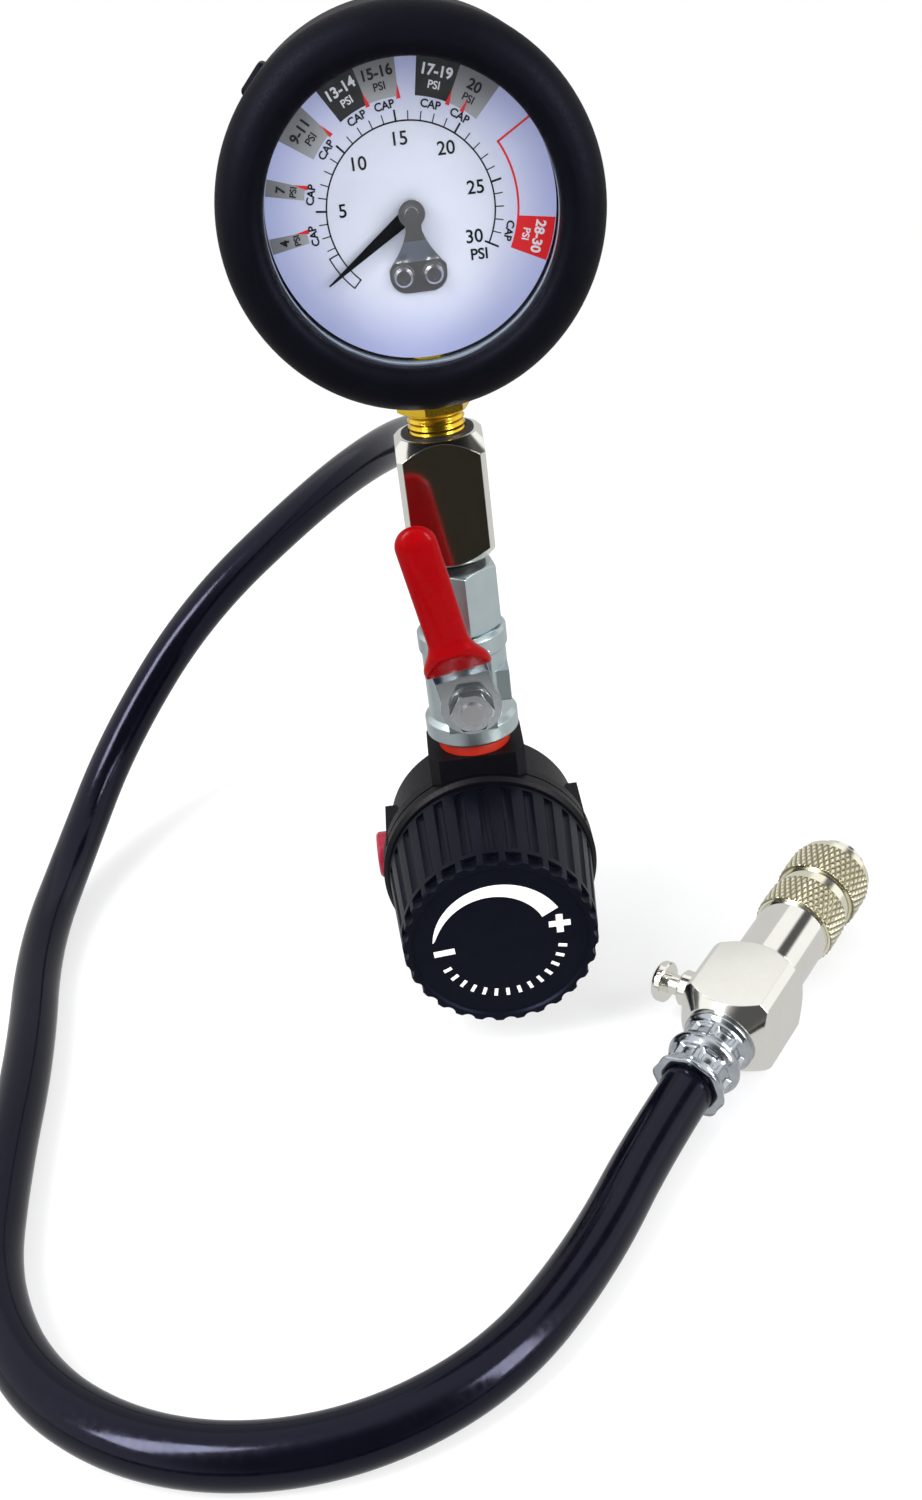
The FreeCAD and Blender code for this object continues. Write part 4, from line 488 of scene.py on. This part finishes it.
# %% Two functions that make a piece
def make_piece(name, shape, material, body, smooth=True):
    """Turns a bmesh into an object that rides on a body."""
    bmesh.ops.recalc_face_normals(shape, faces=shape.faces)
    mesh = bpy.data.meshes.new(name)
    shape.to_mesh(mesh)
    shape.free()
    if smooth:
        mesh.shade_smooth()
    mesh.materials.append(material)
    piece = bpy.data.objects.new(name, mesh)
    bpy.context.scene.collection.objects.link(piece)
    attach(piece, body)
    return piece


def join_rings(shape, rings):
    """Skins the faces between each ring of points and the next."""
    for low, high in zip(rings, rings[1:]):
        for i in range(len(low)):
            shape.faces.new((low[i - 1], low[i], high[i], high[i - 1]))


# %% [markdown]
# ## Print on the dial
# The print is thin ink on the dial's face. Each mark is a solid 0.03 mm thick, so it catches the
# light as ink does and exports as geometry, and words lie just in front of the marks. A place on
# the dial is a radius in millimetres and an angle that grows anticlockwise from the right; both
# come from the scale itself, where 0 psi lies at the pointer's rest and 30 psi at the end of its
# travel.

# %% Rings, bars and words of ink
ink_depth = 0.00003


def polar(radius_mm, degrees):
    turn = math.radians(degrees)
    return radius_mm * math.cos(turn) / 1000, radius_mm * math.sin(turn) / 1000


def band(inner, outer, start, end):
    """The outline of a piece of a ring, with a point about every two degrees."""
    steps = max(2, int(abs(end - start) / 2))
    turns = [start + (end - start) * i / steps for i in range(steps + 1)]
    return [polar(outer, turn) for turn in turns] + [polar(inner, turn) for turn in turns[::-1]]


def bar(inner, outer, degrees, width):
    """A straight stroke along a radius."""
    turn = math.radians(degrees)
    along, across = Vector((math.cos(turn), math.sin(turn))), Vector((-math.sin(turn), math.cos(turn)))
    corners = [(inner, -1), (outer, -1), (outer, 1), (inner, 1)]
    return [tuple((along * r + across * side * width / 2) / 1000) for r, side in corners]


def ink(name, outlines, material, body, centre):
    """Prints closed outlines on a face that looks along -Y."""
    shape = bmesh.new()
    for outline in outlines:
        front = [shape.verts.new((centre.x + x, centre.y - ink_depth, centre.z + z)) for x, z in outline]
        back = [shape.verts.new((centre.x + x, centre.y, centre.z + z)) for x, z in outline]
        shape.faces.new(front)
        shape.faces.new(back[::-1])
        for i, vertex in enumerate(front):
            shape.faces.new((front[i - 1], vertex, back[i], back[i - 1]))
    return make_piece(name, shape, material, body, smooth=False)


def word(name, text, radius_mm, degrees, tilt, height_mm, bold_mm, material):
    """A printed word, centred at a place on the dial. tilt turns it anticlockwise."""
    curve = bpy.data.curves.new(name, "FONT")
    curve.body = text
    curve.align_x = "CENTER"
    curve.align_y = "CENTER"
    capital_share = 0.70  # how tall a capital letter is in a font of size 1
    curve.size = height_mm / capital_share / 1000
    curve.offset = bold_mm / 1000
    curve.extrude = ink_depth
    curve.resolution_u = 6
    curve.materials.append(material)
    piece = bpy.data.objects.new(name, curve)
    bpy.context.scene.collection.objects.link(piece)
    turn = math.radians(tilt)
    right = Vector((math.cos(turn), 0, math.sin(turn)))
    up = Vector((-math.sin(turn), 0, math.cos(turn)))
    x, z = polar(radius_mm, degrees)
    place = Vector((dial_centre.x + x, dial_face - ink_depth * 2, dial_centre.z + z))
    piece.matrix_world = Matrix.Translation(place) @ Matrix((right, up, (0, -1, 0))).transposed().to_4x4()
    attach(piece, "tester")
    return piece


# %% [markdown]
# The scale is one thin ring with a mark for each psi and a longer, bolder one for each fifth. Where
# the pointer rests there is a small open box instead of marks, so the ring starts past 0 psi.

# %% Print the scale
zero_angle = 214.0
full_angle = -28.0
full_reading = 30


def reading_angle(reading):
    return zero_angle + (full_angle - zero_angle) * reading / full_reading


scale_radius, ring_half, major_step = 18.2, 0.17, 5
marks = [band(scale_radius - ring_half, scale_radius + ring_half, reading_angle(1.1), full_angle - 0.5)]
for reading in range(2, full_reading + 1):
    major = reading % major_step == 0
    start = scale_radius - (1.0 if reading == full_reading else 0)
    end = scale_radius + (2.3 if major else 1.9)
    marks.append(bar(start, end, reading_angle(reading), 0.42 if major else 0.24))
box_half_angle, box_stroke = 11.5, 0.3
box_from, box_to = zero_angle + box_half_angle, zero_angle - box_half_angle
box_low, box_high = scale_radius - 0.15, scale_radius + 2.4
marks += [band(box_low, box_low + box_stroke, box_from, box_to),
          band(box_high - box_stroke, box_high, box_from, box_to),
          bar(box_low, box_high, box_from, box_stroke), bar(box_low, box_high, box_to, box_stroke)]
ink("dial_scale", marks, black_ink, "tester", dial_centre)
for reading in range(major_step, full_reading + 1, major_step):
    word(f"dial_number_{reading}", str(reading), 14.7, reading_angle(reading), 0, 2.75, 0.04, black_ink)
word("dial_unit", "PSI", 17.4, -38.0, 0, 2.3, 0.06, black_ink)
print(len(marks), "marks on the scale")

# %% [markdown]
# The coloured blocks at the rim show the test pressure of each kind of radiator cap. Each has its
# pressure in it and the word CAP under it. The grey and black ones also have a thin red wedge, at
# the end of the block, or in its middle where it stands for 20 psi.

# %% Print the blocks
block_inner, block_outer = 23.0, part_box("dial_plate")[1].x * 1000 - 0.15
value_radius, unit_radius, cap_radius = 28.1, 25.4, 21.6
wedge_half_angle, narrow_block = 1.2, 8
pressure_blocks = [
    ("4", 190.0, 184.0, grey_block_ink_and_shade, black_ink), ("7", 167.8, 161.3, grey_block_ink_and_shade, black_ink),
    ("9-11", 146.4, 131.0, grey_block_ink_and_shade, black_ink), ("13-14", 122.8, 106.3, charcoal_ink, white_ink),
    ("15-16", 106.3, 89.5, grey_block_ink_and_shade, black_ink), ("17-19", 80.9, 63.4, charcoal_ink, white_ink),
    ("20", 63.4, 46.4, grey_block_ink_and_shade, black_ink), ("28-30", -9.0, -26.0, red_ink, white_ink)]


def print_block(label, start, end, field_ink, letter_ink):
    middle = (start + end) / 2
    name = "dial_block_" + label.replace("-", "_")
    ink(name, [band(block_inner, block_outer, start, end)], field_ink, "tester", dial_centre)
    narrow = abs(end - start) < narrow_block
    tilt = middle - 90
    word(name + "_value", label, value_radius, middle, tilt, 1.9 if narrow else 2.1, 0.09, letter_ink)
    word(name + "_unit", "PSI", unit_radius, middle, tilt, 1.35 if narrow else 1.55, 0.04, letter_ink)
    word(name + "_cap", "CAP", cap_radius, middle, tilt, 1.6, 0.06, black_ink)
    if field_ink is not red_ink:
        mark = middle if label == "20" else end
        wedge = [polar(block_inner - 0.5, mark + wedge_half_angle),
                 polar(block_inner - 0.5, mark - wedge_half_angle), polar(block_inner + 2.6, mark)]
        raised = dial_centre - Vector((0, ink_depth, 0))
        ink(name + "_wedge", [wedge], red_ink, "tester", raised)


for block in pressure_blocks:
    print_block(*block)
warning_from, warning_to, warning_stroke = 30.5, -9.0, 0.45
warning_marks = [band(block_inner, block_inner + warning_stroke, warning_from, warning_to),
                 bar(block_inner, block_outer, warning_from, warning_stroke)]
ink("dial_warning_outline", warning_marks, red_ink, "tester", dial_centre)
print(len(pressure_blocks), "pressure blocks")

# %% [markdown]
# ## Print on the knob
# The knob's face is a shallow dish inside a low rim, printed white: an arc that swells toward
# the plus sign shows which way raises the pressure, and a ring of ticks fills the lower half.
# The print rides on the knob, so it turns with it.

# %% Print the knob
knob_low, knob_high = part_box("adjusting_knob")
knob_rim = 0.0007
knob_centre = (knob_low + knob_high) / 2
knob_centre.y = knob_low.y + knob_rim
arc_start, arc_end, arc_outer, arc_thin, arc_swell = 173.0, 29.0, 17.0, 0.15, 4.5
plus_radius, plus_size, sign_stroke = 15.3, 5.4, 1.7
tick_inner, tick_outer, tick_width, tick_step = 14.4, 16.6, 0.9, 11


def swelling_arc():
    steps = 60
    outer, inner = [], []
    for i in range(steps + 1):
        share = i / steps
        degrees = arc_start + (arc_end - arc_start) * share
        outer.append(polar(arc_outer, degrees))
        inner.append(polar(arc_outer - arc_thin - arc_swell * share ** 0.6, degrees))
    return outer + inner[::-1]


def plus_sign(radius, degrees, size, stroke):
    x, z = polar(radius, degrees)
    long, short = size / 2000, stroke / 2000
    return [(x - long, z - short), (x - short, z - short), (x - short, z - long), (x + short, z - long),
            (x + short, z - short), (x + long, z - short), (x + long, z + short), (x + short, z + short),
            (x + short, z + long), (x - short, z + long), (x - short, z + short), (x - long, z + short)]


knob_marks = [swelling_arc(), plus_sign(plus_radius, 13.0, plus_size, sign_stroke),
              bar(11.7, arc_outer, 185.0, sign_stroke)]
knob_marks += [bar(tick_inner, tick_outer, degrees, tick_width) for degrees in range(205, 351, tick_step)]
ink("knob_print", knob_marks, white_ink, "knob", knob_centre)
print("knob print at y =", round(knob_centre.y, 4))

# %% [markdown]
# ## Crimped ferrules
# A steel shell is squeezed onto each end of the hose by eight jaws. It starts as a rolled rim at
# the fitting, and the jaws leave two rows of square dents with ribs between them, a smooth bulge
# in the middle, and a last edge that flares into a wavy lip. One radius as a function of the
# distance along the shell and of the angle says all of that, so the shell is a grid of points on
# that function, closed by a plain bore.

# %% Press the ferrules
jaws = 8
shell_length, shell_radius, shell_bore = 17.0, 8.15, 6.42
dent_rows, dent_depth = (4.6, 12.4), 1.1


def smooth_step(low, high, value):
    share = min(max((value - low) / (high - low), 0), 1)
    return share * share * (3 - 2 * share)


def crimped_radius(along, turn):
    """The shell's radius in mm, along mm from the fitting, at an angle in radians."""
    rim = 0.9 * math.exp(-((along - 0.9) / 0.8) ** 2)
    bulge = 1.15 * math.exp(-((along - 8.5) / 1.9) ** 2)
    lip = 0.9 * smooth_step(14.2, shell_length, along)
    wave = 0.32 * smooth_step(14.5, shell_length, along) * math.cos(jaws * turn)
    dents = sum(smooth_step(row - 1.9, row - 1.5, along) * (1 - smooth_step(row + 1.5, row + 1.9, along))
                for row in dent_rows)
    jaw_face = smooth_step(-0.75, -0.5, -math.cos(jaws * turn))
    return shell_radius + rim + bulge + lip + wave - dent_depth * dents * jaw_face


def ferrule(name, origin, direction, node):
    """A shell from the fitting at origin. Its first ring and its last two are plain, and make the bore."""
    around, rows, throat = 128, 84, 1.0
    steps = [shell_length * i / rows for i in range(rows + 1)]
    direction = Vector(direction).normalized()
    side = direction.orthogonal().normalized()
    other = direction.cross(side)
    shape = bmesh.new()
    rings = []
    for along in [0.0] + steps + [shell_length, throat]:
        plain = len(rings) in (0, len(steps) + 1, len(steps) + 2)
        ring = []
        for i in range(around):
            turn = 2 * math.pi * i / around
            radius = shell_bore if plain else crimped_radius(along, turn)
            out = side * math.cos(turn) + other * math.sin(turn)
            ring.append(shape.verts.new(Vector(origin) + (direction * along + out * radius) / 1000))
        rings.append(ring)
    rings.append(rings[0])
    join_rings(shape, rings)
    piece = make_piece(name, shape, rolled_ferrule_steel, "tester")
    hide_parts(node)
    return piece


# The coupler's axis, the middle of its block, and how far the block reaches from there.
coupler_way = Vector((0.6133, 0.7850, 0.0872)).normalized()
coupler_middle = Vector((0.0578, -0.0530, 0.01198))
block_reach = 0.013
rear_ferrule = ferrule("crimped_ferrule_rear", (0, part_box("tee_block")[1].y, hose_route[0][2]), (0, 1, 0),
                       "hose_ferrule_rear")
coupler_ferrule = ferrule("crimped_ferrule_coupler", coupler_middle - coupler_way * block_reach, -coupler_way,
                          "hose_ferrule_coupler")
print("ferrules", [round(v * 1000, 1) for v in rear_ferrule.dimensions])

# %% [markdown]
# ## The knurled sleeve
# The sleeve of the quick coupler is pulled back with two fingers, so it has two bands of diamond
# knurl with a plain groove between them. Rolling presses two crossed sets of grooves into the
# band, which leaves small pyramids. The lower of two triangle waves that run round the sleeve in
# opposite helices is exactly that shape. A grid with eight points per pyramid carries it without
# any texture. The sleeve's profile is a list of radii and places along it in millimetres; where it
# gives no radius, the knurl does.

# %% Roll the knurl
pyramids_around, points_per_pyramid = 40, 8
knurl_pitch, knurl_deep, knurl_fade = 1.7, 0.55, 0.5
front_band, rear_band = (45.2, 55.6), (31.0, 41.2)
band_radius = {rear_band: 10.8, front_band: 11.2}


def triangle_wave(value):
    return 1 - abs((value % 1.0) * 2 - 1)


def knurl_depth(along, turn, start, end):
    """How far the metal is pressed in, from 0 at a pyramid's tip to 1 in a groove."""
    across = turn / (2 * math.pi) * pyramids_around
    rows = (along - start) / knurl_pitch
    height = min(triangle_wave(across + rows / 2), triangle_wave(across - rows / 2))
    edge = min(smooth_step(0, knurl_fade, along - start), smooth_step(0, knurl_fade, end - along))
    return 1 - height * edge


def knurl_rows(knurl, steps):
    """Places along one band, with no radius of their own."""
    start, end = knurl
    return [(None, start + (end - start) * i / steps) for i in range(steps + 1)]


def knurled_sleeve():
    around = pyramids_around * points_per_pyramid
    outside = [(9.55, rear_band[0]), (10.3, rear_band[0])] + knurl_rows(rear_band, 62)
    outside += [(9.9, rear_band[1]), (9.9, front_band[0])] + knurl_rows(front_band, 63)
    outside += [(10.1, front_band[1]), (10.1, 58.0), (9.75, 58.5), (9.2, 59.2), (8.6, 59.2)]
    inside = [(8.6, 56.7), (7.9, 56.7), (7.9, 52.9), (7.45, 52.9), (7.45, 46.6), (9.55, 46.6)]
    side = coupler_way.orthogonal().normalized()
    other = coupler_way.cross(side)
    shape = bmesh.new()
    # Each point keeps how far it is pressed in; the knurl's finish paints shade into the grooves by it.
    groove = shape.verts.layers.float.new("groove")
    rings = []
    for radius, along in outside + inside:
        ring = []
        for i in range(around):
            turn = 2 * math.pi * i / around
            wall, pressed = radius, 0.0
            if wall is None:
                knurl = rear_band if along < front_band[0] else front_band
                pressed = knurl_depth(along, turn, *knurl)
                wall = band_radius[knurl] - knurl_deep * pressed
            out = side * math.cos(turn) + other * math.sin(turn)
            vertex = shape.verts.new(coupler_middle + (coupler_way * along + out * wall) / 1000)
            vertex[groove] = pressed
            ring.append(vertex)
        rings.append(ring)
    rings.append(rings[0])
    join_rings(shape, rings)
    piece = make_piece("knurled_coupler_sleeve", shape, knurled_nickel, "sleeve", smooth=False)
    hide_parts("coupler_sleeve")
    return piece


sleeve = knurled_sleeve()
print("sleeve has", len(sleeve.data.polygons), "faces")

# %% [markdown]
# ## The lever's grip
# The steel lever is dipped in liquid vinyl, which sets as a thick glossy skin: round over the
# blade and its tip, and flared over the wide root, where it drapes in a flat triangle between two
# soft folds. It is lofted: a ring of points for each height, whose width and depth follow the
# lever, and whose front is cut by a slanting plane to make the triangle. Heights are measured in
# millimetres along the lever from its axis, which leans out of the upright.

# %% Dip the grip
lever_axis = Vector((0, 0, 0.0868))
lever_lean = math.radians(9.8)
lever_up = Vector((-math.sin(lever_lean), 0, math.cos(lever_lean)))
lever_right = Vector((math.cos(lever_lean), 0, math.sin(lever_lean)))
lever_back, lever_tip = 16.4, 51.6
bend_low, bend_high = 8.5, 19.0
grip_start, grip_end, grip_half = 11.5, 52.8, 4.95
points_around = 96


def lever_middle(height):
    """How far in front of the pipe's axis the middle of the lever's strip is, in mm."""
    bend = min(max((height - bend_low) / (bend_high - bend_low), 0), 1) * 7.0
    slope = max(height - bend_high, 0) / (lever_tip - bend_high) * 4.0
    return lever_back + 1.0 + bend + slope


def rounded_tip(wide, past):
    """Half the width where a round tip has been going for past mm."""
    return math.sqrt(max(wide * wide - past * past, 0.01)) if past > 0 else wide


def squared(value, power):
    """A cosine or sine with its sign kept; a power near 0 makes an oval a box, and 1 leaves it round."""
    return math.copysign(abs(value) ** power, value)


def grip_width(height):
    wide = grip_half + 3.35 * (1 - smooth_step(13.0, 22.5, height))
    return rounded_tip(wide, height - (grip_end - grip_half))


def grip_ring(height):
    """Points (across, ahead) round the grip, in mm, at one height."""
    wide = grip_width(height)
    swell = min(wide / grip_half, 1.0)
    front = 3.0 * swell + 1.0 * (1 - smooth_step(15.0, 23.5, height))
    back = 2.2 * swell
    facet = 1.75 + 0.27 * (height - grip_start)
    ring = []
    for i in range(points_around):
        turn = 2 * math.pi * i / points_around
        depth = math.sin(turn)
        ahead = front * abs(depth) ** 0.8 if depth > 0 else -back * abs(depth) ** 0.7
        ring.append((wide * squared(math.cos(turn), 0.86), min(ahead, facet)))
    return ring


def cavity_ring(height):
    """Points round the hollow that holds the steel blade, which has nearly square edges."""
    wide = 6.95 - 3.1 * min(max((height - 15.0) / 6.0, 0), 1)
    wide = rounded_tip(wide, height - (lever_tip - 3.7))
    half_thick, square_edge = 1.18, 0.25
    ring = []
    for i in range(points_around):
        turn = 2 * math.pi * i / points_around
        ring.append((wide * squared(math.cos(turn), square_edge),
                     half_thick * squared(math.sin(turn), square_edge)))
    return ring


def dipped_grip():
    shape = bmesh.new()
    lip, rows = 0.5, 60
    straight = grip_end - 5.5 - grip_start
    heights = [grip_start + lip + straight * i / rows for i in range(rows + 1)]
    heights += [grip_end - grip_half * (1 - math.sin(math.radians(a))) for a in range(5, 90, 7)]
    start = grip_ring(grip_start + lip)
    rings = [(grip_start, [(x * 0.9, y * 0.72) for x, y in start]),
             (grip_start + 0.15, [(x * 0.93, y * 0.84) for x, y in start])]
    rings += [(h, grip_ring(h)) for h in heights]
    inner = [(grip_start, cavity_ring(grip_start))]
    inner += [(h, cavity_ring(h)) for h in (15.0, 21.0, 34.0, 47.5, 49.5, 50.8, 51.4)]

    def points(height, ring):
        ahead = lever_middle(height)
        return [shape.verts.new(lever_axis + (lever_up * height + lever_right * x) / 1000
                                - Vector((0, (ahead + y) / 1000, 0))) for x, y in ring]

    outer = [points(h, ring) for h, ring in rings]
    cavity = [points(h, ring) for h, ring in inner]
    for stack in (outer, cavity):
        join_rings(shape, stack)
        shape.faces.new(stack[-1])
    join_rings(shape, [outer[0], cavity[0]])
    piece = make_piece("dipped_lever_grip", shape, dipped_vinyl, "lever")
    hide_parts("lever_sleeve")
    return piece


grip = dipped_grip()
print("grip", [round(v * 1000, 1) for v in grip.dimensions])

# %% [markdown]
# ## Update the scene

bpy.context.view_layer.update()
